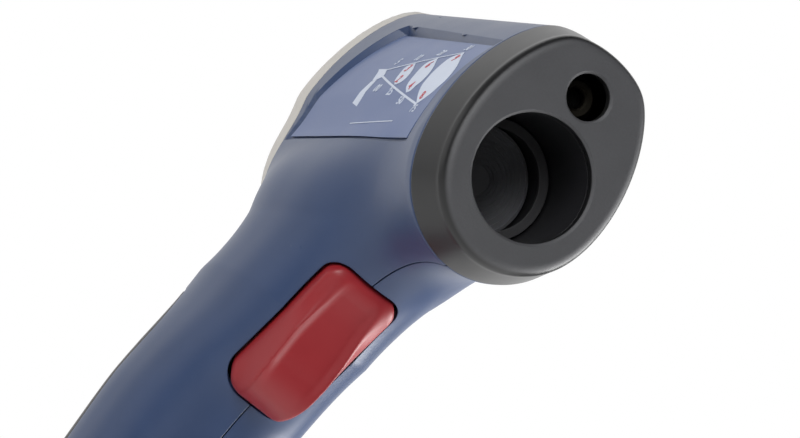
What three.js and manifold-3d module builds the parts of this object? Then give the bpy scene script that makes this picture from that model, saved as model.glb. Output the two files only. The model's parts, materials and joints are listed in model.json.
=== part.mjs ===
// A compact pistol-shaped infrared thermometer: moulded housing halves, a nose cap with
// the sensor and laser apertures, a rear display fascia, a trigger and a battery cover.
// Millimetres. +Z up, the nose points along -Y, +X is on the right seen from the nose.
// The origin is the centre of the flat base of the handle.
import * as THREE from "three";
import { mergeVertices } from "three/addons/utils/BufferGeometryUtils.js";
import Module from "manifold-3d";

const wasm = await Module();
wasm.setup();

// ---- Driving dimensions ----------------------------------------------------------
const HANDLE_HEIGHT = 101.5; // base to the sensor axis
const HEAD_LENGTH = 108.2; // nose face to the fascia plane
const HEAD_WIDTH = 43; // across the widest part of the head
const FASCIA_OVERHANG = 9.2; // fascia plane behind the centre of the base
const WALL = 2.2; // moulded wall
const SPLIT_GAP = 0.3; // between pieces that meet edge to edge
const FLOOR_PANEL = { width: 18, depth: 22 }; // one piece across the split, in the middle of the base
const FIT_GAP = 0.3; // round a piece that sits in a seat

// Head: an egg-shaped section given by its support function, wide end down.
const EGG = [25.4, 5.98, 3.39, 0.24, -0.51, -0.28]; // cosine terms at a width of 43
const EGG_NATURAL_WIDTH = 43;
const CROWN_RISE = 11.3; // growth in height over 100 mm towards the back
const HEAD_TAPER = 0.011; // loss of width over 100 mm towards the back
const FASCIA_ROUND = 7.7; // rounding where the sides meet the fascia plane
const NECK_BLEND = 19; // fillet between the head and the handle
const COLLAR_DROP = 10; // the handle column ends this far below the sensor axis

// Handle: rounded sections, each at a drop below the sensor axis.
const SECTION_POWER = 2.7;
const SECTION_TAPER = 0.16; // the front is narrower than the back
const BASE_SECTION = { front: -19, back: 19, half: 17.8 };
const HANDLE_SECTIONS = [
  { drop: 85, front: -24.5, back: 15.5, half: 18.9 },
  { drop: 69, front: -29, back: 12.2, half: 19.8 },
  { drop: 60, front: -32.4, back: 11, half: 19.5 },
  { drop: 45, front: -43, back: 9.2, half: 18.8 },
  { drop: 29, front: -53.4, back: 3.5, half: 20 },
  { drop: 15, front: -59, back: -1.5, half: 20.8 },
  { drop: -5, front: -63, back: -2.5, half: 21 },
];

// Nose cap and its apertures.
const CAP_LENGTH = 13.1;
const CAP_FLARE = 1.085; // seam outline over rim outline
const CAP_WALL = 2.4;
const CAP_COLLAR = { length: 3.5, wall: 1.3 }; // plugs into the housing
const RIM_DEPTH = 3.2; // depth of the rounded rim
const RIM_INSET = 2.6; // from the rim outline to the flat of the nose face
const SENSOR_BORE = 13.3; // radius
const LASER_BORE = 4.88; // radius
const LASER_RISE = 20.6; // laser axis above the sensor axis

// Optics along the sensor axis, as depths behind the nose face.
const TUNNEL_WALL = 1.6;
const LENS_DEPTH = 29;
const LENS_LEDGE = 1.3; // the lens is smaller than the bore by this much all round
const LENS_THICKNESS = 1.6;
const RING_DEPTH = 21;
const RING_THICKNESS = 3;
const RING_LIP = 0.4; // overlap of the ring over the edge of the lens
const CHAMBER_LENGTH = 17; // behind the lens
const SENSOR_CAN = { radius: 4.6, length: 5.2, flange: 0.8, lip: 0.5, pane: 1.6, shade: 1 };
const SENSOR_BOARD = { size: 29, thickness: 1.6, corner: 2 };

// Laser module.
const LASER_RADIUS = 4;
const LASER_LENGTH = 20;
const LASER_DEPTH = 6.5; // its front behind the nose face
const LASER_LENS = { radius: 1.9, thickness: 1.2, recess: 1, seat: 3 };
const LASER_TAIL = { step: 1.2, length: 3 }; // the narrower back of the barrel
const LASER_CLAMP = { from: 4, to: 12, wall: 1.5, web: 3 }; // behind the front of the barrel

// Rear fascia, display and keys.
const FASCIA_THICKNESS = 9;
const FASCIA_BOTTOM = -17; // lower edge, from the sensor axis
const WINDOW = { width: 25, height: 20, thickness: 1.2, seat: 1.6, rise: 14, corner: 2.5, lip: 1.6 };
const KEYS = { count: 3, radius: 3.3, pitch: 8.8, rise: -2.8, proud: 0.9, flange: 0.6, travel: 0.7 };
const KEY_GAP = 0.3;
const KEY_LENGTH = 6.2;
const KEY_MAT = { margin: 0.75, corner: 2, dome: 0.8, radius: 2.2 };
const SKIRT_GAP = 1.6; // inside face of the fascia to the skirt of a key
const LCD = { width: 25, height: 21, thickness: 2.4, inset: 1.4 };
const LCD_FRAME = { inset: 0.5, border: 1.6, floor: 1.2 };
const POCKET = { width: 28.6, height: 37, corner: 7, rise: 10.5 }; // inside the fascia
const DISPLAY_BOARD = { width: 28, height: 38, corner: 3, thickness: 1.6, setback: 11.6, rise: 9 };
const CHIP = { x: -2, rise: 1, size: 10, thickness: 1.6 };
const BUZZER = { x: 6, rise: 17, radius: 6, length: 5 };
const FLEX = { from: 4, to: 12, rise: 8, arch: 3.5, thickness: 0.6, steps: 8 };

// Trigger, in its own tilted plane on the front of the handle.
const TRIGGER = {
  width: 18.4,
  length: 37.6,
  drop: 44.6, // its middle below the sensor axis
  tilt: 34.3,
  corner: 4.8,
  brink: -0.8, // where its flanks begin, out from its plane
  skin: 3.4, // wall under the housing's skin line
  reach: 9, // depth of its deepest edge
  sink: 2, // room behind that edge when it is pulled
};
// Its face from top to bottom: share of half the length, height, half width between the ridges.
const TRIGGER_FACE = [
  [1.02, -1, 5.4],
  [0.86, 0.7, 5.8],
  [0.53, 2, 6.2],
  [0.16, 4.4, 7],
  [-0.16, 6.9, 7],
  [-0.43, 8.3, 6.6],
  [-0.66, 7.6, 6],
  [-0.85, 5, 5.5],
  [-0.97, 1.8, 5],
  [-1.02, -1, 5],
];
const TRIGGER_GAP = 0.8;
const TRIGGER_PIN = { along: 13.6, depth: 11.5, radius: 1, held: 1.3 };
const TRIGGER_LUG = { radius: 2.7, inner: 2.6, outer: 7.2 };
const PIN_GAP = 0.3;
const SPRING = { wire: 0.35, coil: 1.8, turns: 4, span: 3.4 };
const SWITCH = { along: -6, size: 6, body: 3.4, plunger: 1.1, travel: 1.05, reach: 8.6 };
const PLUNGER = { size: 3, held: 1.4 }; // held is its length inside the switch at rest
const ACTUATOR = { width: 5, length: 4 };
const SWITCH_BOARD = { width: 20, length: 22, thickness: 1.6 };

// Nine volt block battery and its cover.
const BATTERY = { width: 26.5, depth: 17.5, length: 46.4, mid: 31, corner: 2 };
const TERMINAL = { radius: 3.6, height: 2.6, offset: 6.35 };
const SNAP = { width: 25, depth: 12.5, thickness: 5.5, corner: 3 };
const LEAD_RADIUS = 0.7;
const COVER = { bottom: 3, reach: 57.4, depth: 12.6, bulge: 1.6, gap: 0.4, nail: 1.3, wall: 1.9 };
const COVER_TAB = { x: 8, width: 5, length: 4.5, thickness: 1.6 };

// Label recess on the -X side: rear corners as distance before the fascia plane, front ones
// as distance behind the cap seam, each with its height over the sensor axis.
const RECESS = {
  rearTop: [24.2, 30.5],
  frontTop: [1.6, 21.3],
  frontBottom: [8.9, -4.9],
  rearBottom: [11.7, -2.5],
  deep: 2, // at the top
  shallow: 0.5, // at the bottom
  fade: 0.65, // share of the depth lost towards the nose
  slant: 2.2, // run of the top and rear walls
  step: 0.6, // run of the bottom and front walls
  backing: 1.8, // wall left behind the floor
  border: 2.5, // the backing's reach past the recess
};
const LABEL = { thickness: 0.25, margin: 0.05, gap: 0.42 };

// Self-tapping screws, driven from the +X side.
const SCREW = { head: 2.4, headHeight: 1.8, shank: 1.3, length: 12, seat: 6 };
const BOSS_RADIUS = 3.1;
const HEAD_BOSS_RADIUS = 4.1;
const SCREW_PLACES = [
  { name: "screw_base", y: -13.2, z: 9.2 },
  { name: "screw_grip", y: -21.4, z: 34 },
  { name: "screw_neck", y: -27.5, z: HANDLE_HEIGHT - 23.5 },
  { name: "screw_crown_front", y: FASCIA_OVERHANG - HEAD_LENGTH + 41, z: HANDLE_HEIGHT + 29 },
  { name: "screw_crown_rear", y: -21, z: HANDLE_HEIGHT + 34 },
];

// Fineness of the sampled skins and of the turned pieces.
const COLUMNS = 28;
const GRIP_ROWS = 8;
const TURN_ROWS = 20;
const HEAD_ROWS = 3;
const ROUND = 24;
const FINE_ROUND = 12;

// ---- Places that follow from the sizes -------------------------------------------
const SENSOR_Z = HANDLE_HEIGHT;
const LASER_Z = SENSOR_Z + LASER_RISE;
const FASCIA_Y = FASCIA_OVERHANG;
const NOSE_Y = FASCIA_Y - HEAD_LENGTH;
const SEAM_Y = NOSE_Y + CAP_LENGTH;
const SCALE = HEAD_WIDTH / EGG_NATURAL_WIDTH;
const PIVOT = { y: NOSE_Y + 30, z: SENSOR_Z - 42 }; // where the skin's fan of planes turns
const SECTIONS = [{ drop: HANDLE_HEIGHT, ...BASE_SECTION }, ...HANDLE_SECTIONS]
  .map((s) => ({ ...s, z: SENSOR_Z - s.drop }))
  .sort((a, b) => a.z - b.z);

// ---- Solids ----------------------------------------------------------------------
const clamp = (v, low, high) => Math.min(Math.max(v, low), high);

// A closed geometry as a solid, with its faces turned outwards.
function solid(geometry) {
  const bare = geometry.clone();
  bare.deleteAttribute("normal");
  bare.deleteAttribute("uv");
  const merged = mergeVertices(bare, 1e-4);
  const vertProperties = new Float32Array(merged.attributes.position.array);
  const triVerts = new Uint32Array(merged.index.array);
  const made = new wasm.Manifold(new wasm.Mesh({ numProp: 3, vertProperties, triVerts }));
  if (made.volume() > 0) return made;
  const turned = new wasm.Mesh({ numProp: 3, vertProperties, triVerts: triVerts.reverse() });
  return new wasm.Manifold(turned);
}

function geometryOf(body) {
  const mesh = body.getMesh();
  const points = new THREE.BufferAttribute(new Float32Array(mesh.vertProperties), 3);
  const geometry = new THREE.BufferGeometry().setAttribute("position", points);
  geometry.setIndex(new THREE.BufferAttribute(new Uint32Array(mesh.triVerts), 1));
  const faceted = geometry.toNonIndexed();
  faceted.computeVertexNormals();
  return faceted;
}

// A closed skin over equal rings of [x, y, z] points, with a fan over each end.
function loft(rings) {
  const count = rings[0].length;
  const middle = (ring) => [0, 1, 2].map((k) => ring.reduce((sum, p) => sum + p[k], 0) / count);
  const points = [...rings.flat(), middle(rings[0]), middle(rings.at(-1))];
  const first = rings.length * count;
  const faces = [];
  for (let c = 0; c < count; c++) {
    const n = (c + 1) % count;
    for (let r = 0; r + 1 < rings.length; r++) {
      const [a, b] = [r * count, (r + 1) * count];
      if (c < count / 2) faces.push(a + c, a + n, b + n, a + c, b + n, b + c);
      else faces.push(a + c, a + n, b + c, a + n, b + n, b + c);
    }
    const last = (rings.length - 1) * count;
    faces.push(first, n, c, first + 1, last + c, last + n);
  }
  const geometry = new THREE.BufferGeometry();
  geometry.setAttribute("position", new THREE.Float32BufferAttribute(points.flat(), 3));
  geometry.setIndex(faces);
  return solid(geometry);
}

function box(x, y, z, width, depth, height) {
  return solid(new THREE.BoxGeometry(width, depth, height).translate(x, y, z));
}

// A cylinder along Y from y0 to y1, or along X when axis is "x".
function rod(radius, from, to, a, b, axis = "y", segments = FINE_ROUND) {
  const geometry = new THREE.CylinderGeometry(radius, radius, to - from, segments);
  const mid = (from + to) / 2;
  if (axis === "x") return solid(geometry.rotateZ(Math.PI / 2).translate(mid, a, b));
  return solid(geometry.translate(a, mid, b));
}

// A turned piece on an axis along Y: profile points are [radius, y], outside first from
// the front to the back, then the inside back to the front.
function turned(profile, z = SENSOR_Z, segments = ROUND) {
  const closed = [...profile, profile[0]].map(([r, y]) => new THREE.Vector2(r, y));
  return solid(new THREE.LatheGeometry(closed, segments).translate(0, 0, z));
}

// Shapes drawn in (y, z) and given a thickness from x0 to x1.
function sidePlate(points, x0, x1) {
  const shape = new THREE.Shape(points.map(([y, z]) => new THREE.Vector2(y, z)));
  const geometry = new THREE.ExtrudeGeometry(shape, { depth: x1 - x0, bevelEnabled: false });
  const turn = new THREE.Matrix4().set(0, 0, 1, x0, 1, 0, 0, 0, 0, 1, 0, 0, 0, 0, 0, 1);
  return solid(geometry.applyMatrix4(turn));
}

function roundedShape(width, height, corner) {
  const [w, h] = [width / 2, height / 2];
  const shape = new THREE.Shape();
  shape.absarc(w - corner, h - corner, corner, 0, Math.PI / 2);
  shape.absarc(corner - w, h - corner, corner, Math.PI / 2, Math.PI);
  shape.absarc(corner - w, corner - h, corner, Math.PI, 1.5 * Math.PI);
  shape.absarc(w - corner, corner - h, corner, 1.5 * Math.PI, 2 * Math.PI);
  return shape;
}

// A rounded plate lying in X and Z, from y0 to y1, centred at height z.
function plate(width, height, corner, y0, y1, z) {
  const options = { depth: y1 - y0, bevelEnabled: false, curveSegments: 5 };
  const geometry = new THREE.ExtrudeGeometry(roundedShape(width, height, corner), options);
  return solid(geometry.rotateX(Math.PI / 2).translate(0, y1, z));
}

// ---- Skin of the housing ---------------------------------------------------------
// Smooth curve through the handle's sections for one of their values.
function sectionValue(key, z) {
  const last = SECTIONS.length - 1;
  const slope = (i) => {
    const [a, b] = [SECTIONS[Math.max(i - 1, 0)], SECTIONS[Math.min(i + 1, last)]];
    return (b[key] - a[key]) / (b.z - a.z);
  };
  const at = SECTIONS.findIndex((s, i) => i === last - 1 || SECTIONS[i + 1].z > z);
  const [low, high] = [SECTIONS[at], SECTIONS[at + 1]];
  const span = high.z - low.z;
  const t = clamp((z - low.z) / span, 0, 1);
  const rise = (high[key] - low[key]) * (3 * t * t - 2 * t ** 3);
  return low[key] + rise + span * (slope(at) * t * (1 - t) ** 2 - slope(at + 1) * t * t * (1 - t));
}

const eggSupport = (t) => EGG.reduce((sum, a, k) => sum + a * Math.cos(k * t), 0) * SCALE;
const EGG_ANGLES = Array.from({ length: 72 }, (_, i) => (i / 72) * 2 * Math.PI);
const EGG_SIDES = EGG_ANGLES.map((t) => [Math.sin(t), Math.cos(t), eggSupport(t)]);
const EGG_BOTTOM = -eggSupport(Math.PI);
const EGG_HEIGHT = eggSupport(0) + eggSupport(Math.PI);

// Points round the egg, shrunk evenly by an inset and scaled about the sensor axis.
function eggRing(y, scale = 1, inset = 0, count = COLUMNS) {
  return Array.from({ length: count }, (_, i) => {
    const t = (-i / count) * 2 * Math.PI;
    const h = eggSupport(t) * scale - inset;
    const turn = EGG.reduce((sum, a, k) => sum - k * a * Math.sin(k * t), 0) * SCALE * scale;
    const x = h * Math.sin(t) + turn * Math.cos(t);
    return [x, y, SENSOR_Z + h * Math.cos(t) - turn * Math.sin(t)];
  });
}

function smoothMax(a, b, radius) {
  const h = clamp(0.5 + (0.5 * (a - b)) / radius, 0, 1);
  return b * (1 - h) + a * h + 0.5 * radius * h * (1 - h);
}

const smoothMin = (a, b, radius) => -smoothMax(-a, -b, radius);

function headDistance(x, y, z) {
  const back = clamp(y - SEAM_Y, -5, 130) / 100;
  const grown = 1 + (CROWN_RISE * back) / EGG_HEIGHT;
  const across = x / (1 - HEAD_TAPER * back);
  const up = EGG_BOTTOM + (z - SENSOR_Z - EGG_BOTTOM) / grown;
  let side = -Infinity;
  for (const [s, c, h] of EGG_SIDES) side = Math.max(side, across * s + up * c - h);
  return smoothMax(side, y - FASCIA_Y, FASCIA_ROUND);
}

function handleDistance(x, y, z) {
  const [front, back] = [sectionValue("front", z), sectionValue("back", z)];
  const reach = (back - front) / 2;
  const along = (y - (front + back) / 2) / reach;
  const half = sectionValue("half", z) * SCALE;
  const width = half * (1 + SECTION_TAPER * clamp(along, -1.2, 1.2));
  const around = Math.abs(along) ** SECTION_POWER + Math.abs(x / width) ** SECTION_POWER;
  const column = (around ** (1 / SECTION_POWER) - 1) * Math.min(reach, half) * 0.95;
  return smoothMax(column, z - (SENSOR_Z - COLLAR_DROP), 12);
}

// Signed distance to the skin, negative inside.
function skinDistance(x, y, z) {
  return smoothMin(headDistance(x, y, z), handleDistance(x, y, z), NECK_BLEND);
}

// One ring of the skin at a level, in the plane of X and a ray from an origin.
function skinRing(origin, ray, level) {
  const at = (x, r) => skinDistance(x, origin.y + ray.y * r, origin.z + ray.z * r) - level;
  const reach = 170;
  const crossing = (low, high) => {
    for (let i = 0; i < 22; i++) {
      const mid = (low + high) / 2;
      if (at(0, mid) < 0) high = mid;
      else low = mid;
    }
    return (low + high) / 2;
  };
  let near = 0;
  while (at(0, near) > 0 && near < reach) near += 1;
  let far = reach;
  while (at(0, far) > 0) far -= 1;
  const inner = near > 0 ? crossing(near - 1, near) : 0;
  const outer = crossing(far + 1, far);
  const [centre, half] = [(inner + outer) / 2, (outer - inner) / 2];
  return Array.from({ length: COLUMNS }, (_, i) => {
    const t = (-i / COLUMNS) * 2 * Math.PI;
    const [dx, dr] = [Math.sin(t) * HEAD_WIDTH * 0.5, Math.cos(t) * half];
    let [low, high] = [0, 2];
    for (let k = 0; k < 18; k++) {
      const mid = (low + high) / 2;
      if (at(dx * mid, centre + dr * mid) < 0) low = mid;
      else high = mid;
    }
    const r = centre + dr * low;
    return [dx * low, origin.y + ray.y * r, origin.z + ray.z * r];
  });
}

// The housing's outline grown or shrunk by a level, from a height to a front plane.
function skinSolid(level, floor = 0, front = SEAM_Y) {
  const rings = [];
  for (let i = 0; i < GRIP_ROWS; i++) {
    const z = floor + ((PIVOT.z - floor) * i) / GRIP_ROWS;
    rings.push(skinRing({ y: PIVOT.y, z }, { y: 1, z: 0 }, level));
  }
  for (let i = 0; i < TURN_ROWS; i++) {
    const t = ((Math.PI / 2) * i) / TURN_ROWS;
    rings.push(skinRing(PIVOT, { y: Math.cos(t), z: Math.sin(t) }, level));
  }
  for (let i = 0; i <= HEAD_ROWS; i++) {
    const y = PIVOT.y + ((front - PIVOT.y) * i) / HEAD_ROWS;
    rings.push(skinRing({ y, z: PIVOT.z }, { y: 0, z: 1 }, level));
  }
  return loft(rings);
}

const outerSkin = skinSolid(0);
const cavity = skinSolid(-WALL, WALL, SEAM_Y - 4);

// ---- Battery cover, fascia and recess outlines --------------------------------------
const backLine = (z) => sectionValue("back", z);

const COVER_HINGE = { y: backLine(COVER.bottom), z: COVER.bottom };

// The side view of the battery cover: its front edge runs inside the back of the handle and
// bows forward near the top, and its top edge is an arc about the lower edge that it turns on.
function coverOutline(gap, above) {
  const reach = COVER.reach + above;
  const crest = (y) => COVER_HINGE.z + Math.sqrt(reach ** 2 - (COVER_HINGE.y - y) ** 2);
  const edge = (z) => {
    const t = (z - COVER.bottom) / COVER.reach;
    return backLine(z) - COVER.depth - gap - COVER.bulge * Math.exp(-(((t - 0.78) / 0.14) ** 2));
  };
  const low = COVER.bottom - gap;
  const high = crest(edge(crest(edge(COVER.reach))));
  const steps = 8;
  const front = Array.from({ length: steps + 1 }, (_, i) => low + ((high - low) * i) / steps);
  const behind = COVER_HINGE.y + 12;
  const top = [0.25, 0.5, 0.75, 1].map((f) => edge(high) + (behind - edge(high)) * f);
  return [...front.map((z) => [edge(z), z]), ...top.map((y) => [y, crest(y)]), [behind, low]].reverse();
}

// The x of the -X side of the skin at a level, found from outside.
function sideOfSkin(y, z, level) {
  let [outside, inside] = [-HEAD_WIDTH, -2];
  for (let i = 0; i < 24; i++) {
    const mid = (outside + inside) / 2;
    if (skinDistance(mid, y, z) > level) outside = mid;
    else inside = mid;
  }
  return outside;
}

const recessCorners = {
  rear: [RECESS.rearBottom, RECESS.rearTop].map(([before, rise]) => [FASCIA_Y - before, rise]),
  front: [RECESS.frontBottom, RECESS.frontTop].map(([behind, rise]) => [SEAM_Y + behind, rise]),
};

// A point over the label recess: t runs from its bottom to its top, s from rear to front.
function recessPoint(t, s, level) {
  const [y, up] = [0, 1].map((k) => {
    const [rear, front] = [recessCorners.rear, recessCorners.front].map(
      ([low, high]) => low[k] + (high[k] - low[k]) * t,
    );
    return rear + (front - rear) * s;
  });
  const z = SENSOR_Z + up;
  return [sideOfSkin(y, z, level), y, z];
}

const RECESS_GRID = [0, 0.2, 0.4, 0.6, 0.8, 1];
const RECESS_SPAN = {
  height: RECESS.rearTop[1] - RECESS.rearBottom[1],
  length: recessCorners.rear[0][0] - recessCorners.front[0][0],
};

function recessDepth(t, s) {
  const extra = (RECESS.deep - RECESS.shallow) * clamp(t, 0, 1);
  return RECESS.shallow + extra * (1 - RECESS.fade * clamp(s, 0, 1));
}

// The recess as a solid from its floor outwards, with sloping walls; the floor is sunk by
// an extra amount and every side moved out by another.
function recessSolid(sunk, out) {
  const rise = (run) => run / RECESS_SPAN.height;
  const reach = (run) => run / RECESS_SPAN.length;
  const brim = 0.4;
  const inner = RECESS_GRID.map((f) => ({ t: f * (1 + rise(2 * out)) - rise(out), floor: true }));
  const stations = [{ t: -rise(RECESS.step + out) }, ...inner, { t: 1 + rise(RECESS.slant + out) }];
  const rings = stations.map(({ t, floor }) => {
    const level = (s) => (floor ? -recessDepth(t, s) : brim) - sunk;
    const rear = recessPoint(t, -reach(RECESS.slant + out), brim - sunk);
    const front = recessPoint(t, 1 + reach(RECESS.step + out), brim - sunk);
    const middle = RECESS_GRID.map((f) => {
      const s = f * (1 + reach(2 * out)) - reach(out);
      return recessPoint(t, s, level(s));
    });
    const far = -HEAD_WIDTH;
    return [rear, ...middle, front, [far, front[1], front[2]], [far, rear[1], rear[2]]];
  });
  return loft(rings);
}

const recessCut = recessSolid(0, 0);
const recessPad = recessSolid(RECESS.backing, RECESS.border);

function fasciaBlock(grow) {
  const front = FASCIA_Y - FASCIA_THICKNESS - grow;
  const bottom = SENSOR_Z + FASCIA_BOTTOM - grow;
  const [depth, height] = [FASCIA_THICKNESS + 30, 90];
  return box(0, front + depth / 2, bottom + height / 2, HEAD_WIDTH + 20, depth, height);
}

// ---- Trigger frame: X across, Y up along the trigger, Z out of the handle -----------------
const tilt = THREE.MathUtils.degToRad(TRIGGER.tilt);
const triggerUp = new THREE.Vector3(0, -Math.sin(tilt), Math.cos(tilt));
const triggerOut = new THREE.Vector3(0, -Math.cos(tilt), -Math.sin(tilt));
const triggerZ = SENSOR_Z - TRIGGER.drop;
const triggerCentre = new THREE.Vector3(0, sectionValue("front", triggerZ), triggerZ);
const triggerFrame = new THREE.Matrix4()
  .makeBasis(new THREE.Vector3(1, 0, 0), triggerUp, triggerOut)
  .setPosition(triggerCentre);

const inTrigger = (geometry) => solid(geometry.applyMatrix4(triggerFrame));

// A block in the trigger's frame, its middle at (x, along), from one depth to another.
function triggerBlock(x, along, width, length, shallow, deep) {
  const geometry = new THREE.BoxGeometry(width, length, deep - shallow);
  return inTrigger(geometry.translate(x, along, -(shallow + deep) / 2));
}

// A rod across the trigger at the pin's place.
function pinRod(radius, x0, x1) {
  const at = new THREE.Vector3(0, TRIGGER_PIN.along, -TRIGGER_PIN.depth).applyMatrix4(triggerFrame);
  return rod(radius, x0, x1, at.y, at.z, "x");
}

function triggerPrism(grow, deep) {
  const corner = TRIGGER.corner + grow;
  const outline = roundedShape(TRIGGER.width + 2 * grow, TRIGGER.length + 2 * grow, corner);
  const options = { depth: deep + 14, bevelEnabled: false, curveSegments: 4 };
  return inTrigger(new THREE.ExtrudeGeometry(outline, options).translate(0, 0, -deep));
}

// ---- Screws and their bosses ----------------------------------------------------------
const SCREW_TIP = SCREW.seat - SCREW.length;

function screw({ y, z }) {
  const top = SCREW.seat + SCREW.headHeight;
  const head = rod(SCREW.head, SCREW.seat, top, y, z, "x");
  const shank = rod(SCREW.shank, SCREW_TIP, SCREW.seat + 0.5, y, z, "x");
  const slots = box(top, y, z, 1.6, 2.6, 0.6).add(box(top, y, z, 1.6, 0.6, 2.6));
  return head.subtract(slots).add(shank);
}

function leftBoss(shell, { y, z }) {
  const post = rod(BOSS_RADIUS, -HEAD_WIDTH, -SPLIT_GAP / 2, y, z, "x").intersect(outerSkin);
  const pilot = rod(SCREW.shank + FIT_GAP, SCREW_TIP - 1.5, 1, y, z, "x");
  return shell.add(post).subtract(pilot);
}

function rightBoss(shell, { y, z }) {
  const post = rod(HEAD_BOSS_RADIUS, SPLIT_GAP / 2, HEAD_WIDTH, y, z, "x").intersect(outerSkin);
  const sink = rod(SCREW.head + FIT_GAP, SCREW.seat - FIT_GAP, HEAD_WIDTH, y, z, "x");
  const hole = rod(SCREW.shank + FIT_GAP, -1, SCREW.seat, y, z, "x");
  return shell.add(post).subtract(sink).subtract(hole);
}

// ---- Housing halves ---------------------------------------------------------------------
const coverOpening = sidePlate(coverOutline(COVER.gap, COVER.nail), -HEAD_WIDTH, HEAD_WIDTH);
const triggerOpening = triggerPrism(TRIGGER_GAP, TRIGGER.reach + TRIGGER.sink);
const floorPanel = (grow) => {
  const [width, depth] = [FLOOR_PANEL.width + 2 * grow, FLOOR_PANEL.depth + 2 * grow];
  return box(0, 0, WALL / 2, width, depth, WALL + 2 * grow);
};
const halfSpace = (side) => {
  const reach = 200;
  return box(side * (reach / 2 + SPLIT_GAP / 2), 0, reach / 2, reach, 2 * reach, 2 * reach);
};

const collarRoom = loft([
  eggRing(SEAM_Y - 4, 1, WALL),
  eggRing(SEAM_Y + CAP_COLLAR.length + FIT_GAP, 1, WALL),
]);

const shell = outerSkin
  .subtract(cavity.subtract(recessPad))
  .subtract(recessCut)
  .subtract(fasciaBlock(SPLIT_GAP))
  .subtract(coverOpening)
  .subtract(triggerOpening)
  .subtract(collarRoom);

const PIN_SEAT = TRIGGER.width / 2 + TRIGGER_GAP + FIT_GAP; // where the pin's seats begin
const PIN_REACH = PIN_SEAT + TRIGGER_PIN.held; // half the length of the pin

function pinSeat(half, side) {
  const [from, to] = side > 0 ? [PIN_SEAT, HEAD_WIDTH] : [-HEAD_WIDTH, -PIN_SEAT];
  const [a, b] = side > 0 ? [0, PIN_REACH + FIT_GAP] : [-PIN_REACH - FIT_GAP, 0];
  const post = pinRod(TRIGGER_LUG.radius, from, to).intersect(outerSkin);
  return half.add(post).subtract(pinRod(TRIGGER_PIN.radius + PIN_GAP, a, b));
}

function housingHalf(side) {
  const half = SCREW_PLACES.reduce(side > 0 ? rightBoss : leftBoss, shell.intersect(halfSpace(side)));
  const seated = pinSeat(half, side);
  return side > 0 ? seated.subtract(floorPanel(SPLIT_GAP)) : seated.add(floorPanel(0));
}

// ---- Nose cap -------------------------------------------------------------------------------
function noseCap() {
  const rim = (t) => RIM_INSET * (1 - Math.cos(t));
  const back = SEAM_Y - SPLIT_GAP;
  const outside = [eggRing(back), eggRing(NOSE_Y + RIM_DEPTH, 1 / CAP_FLARE)];
  for (let i = 1; i <= 4; i++) {
    const t = (i / 4) * (Math.PI / 2);
    const y = NOSE_Y + RIM_DEPTH * (1 - Math.sin(t));
    outside.push(eggRing(y, 1 / CAP_FLARE, rim(t)));
  }
  const collar = WALL + FIT_GAP;
  const hollow = [
    eggRing(back + CAP_COLLAR.length + 1, 1, collar + CAP_COLLAR.wall),
    eggRing(NOSE_Y + CAP_WALL, 1 / CAP_FLARE, CAP_WALL),
  ];
  return loft(outside)
    .add(loft([eggRing(back - 3, 1, collar), eggRing(back + CAP_COLLAR.length, 1, collar)]))
    .subtract(loft(hollow))
    .subtract(rod(SENSOR_BORE, NOSE_Y - 5, NOSE_Y + 8, 0, SENSOR_Z, "y", 40))
    .subtract(rod(LASER_BORE, NOSE_Y - 5, NOSE_Y + 8, 0, LASER_Z, "y", 24));
}

// ---- Optics ------------------------------------------------------------------------------
const depth = (d) => NOSE_Y + d;
const LENS_RADIUS = SENSOR_BORE - LENS_LEDGE;
const RING_INNER = LENS_RADIUS - RING_LIP;
const TUNNEL_FRONT = CAP_WALL + FIT_GAP;
const LENS_SEAT = LENS_DEPTH + LENS_THICKNESS + FIT_GAP;
const TUNNEL_END = LENS_SEAT + CHAMBER_LENGTH;
const TUNNEL_BORE = LENS_RADIUS + FIT_GAP;
const TUNNEL_RADIUS = SENSOR_BORE + TUNNEL_WALL;

function sensorTunnel() {
  const tube = turned([
    [TUNNEL_RADIUS, depth(TUNNEL_FRONT)],
    [TUNNEL_RADIUS, depth(LENS_SEAT)],
    [TUNNEL_BORE, depth(TUNNEL_END)],
    [LENS_RADIUS - 2, depth(TUNNEL_END)],
    [LENS_RADIUS - 1.4, depth(LENS_SEAT)],
    [TUNNEL_BORE, depth(LENS_SEAT)],
    [TUNNEL_BORE, depth(RING_DEPTH + RING_THICKNESS)],
    [SENSOR_BORE, depth(RING_DEPTH + RING_THICKNESS)],
    [SENSOR_BORE, depth(TUNNEL_FRONT)],
  ]);
  const bore = LASER_RADIUS + FIT_GAP;
  const [from, to] = [LASER_CLAMP.from, LASER_CLAMP.to].map((d) => depth(LASER_DEPTH + d));
  const ring = rod(bore + LASER_CLAMP.wall, from, to, 0, LASER_Z);
  const low = SENSOR_Z + TUNNEL_RADIUS - TUNNEL_WALL / 2;
  const web = box(0, (from + to) / 2, (low + LASER_Z) / 2, LASER_CLAMP.web, to - from, LASER_Z - low);
  return tube.add(ring).add(web).subtract(rod(bore, from - 1, to + 1, 0, LASER_Z));
}

const lensRing = () =>
  turned([
    [SENSOR_BORE - FIT_GAP, depth(RING_DEPTH)],
    [SENSOR_BORE - FIT_GAP, depth(RING_DEPTH + RING_THICKNESS - FIT_GAP)],
    [RING_INNER, depth(RING_DEPTH + RING_THICKNESS - FIT_GAP)],
    [RING_INNER - 0.8, depth(RING_DEPTH)],
  ]);

function lens() {
  const [front, back] = [depth(LENS_DEPTH), depth(LENS_DEPTH + LENS_THICKNESS)];
  return rod(LENS_RADIUS, front, back, 0, SENSOR_Z, "y", ROUND);
}

const HOLDER_FRONT = TUNNEL_END + FIT_GAP;
const HOLDER_LENGTH = SENSOR_CAN.length + SENSOR_CAN.shade;
const HOLDER_BACK = HOLDER_FRONT + HOLDER_LENGTH;
const BOARD_FRONT = HOLDER_BACK + FIT_GAP;

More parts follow.
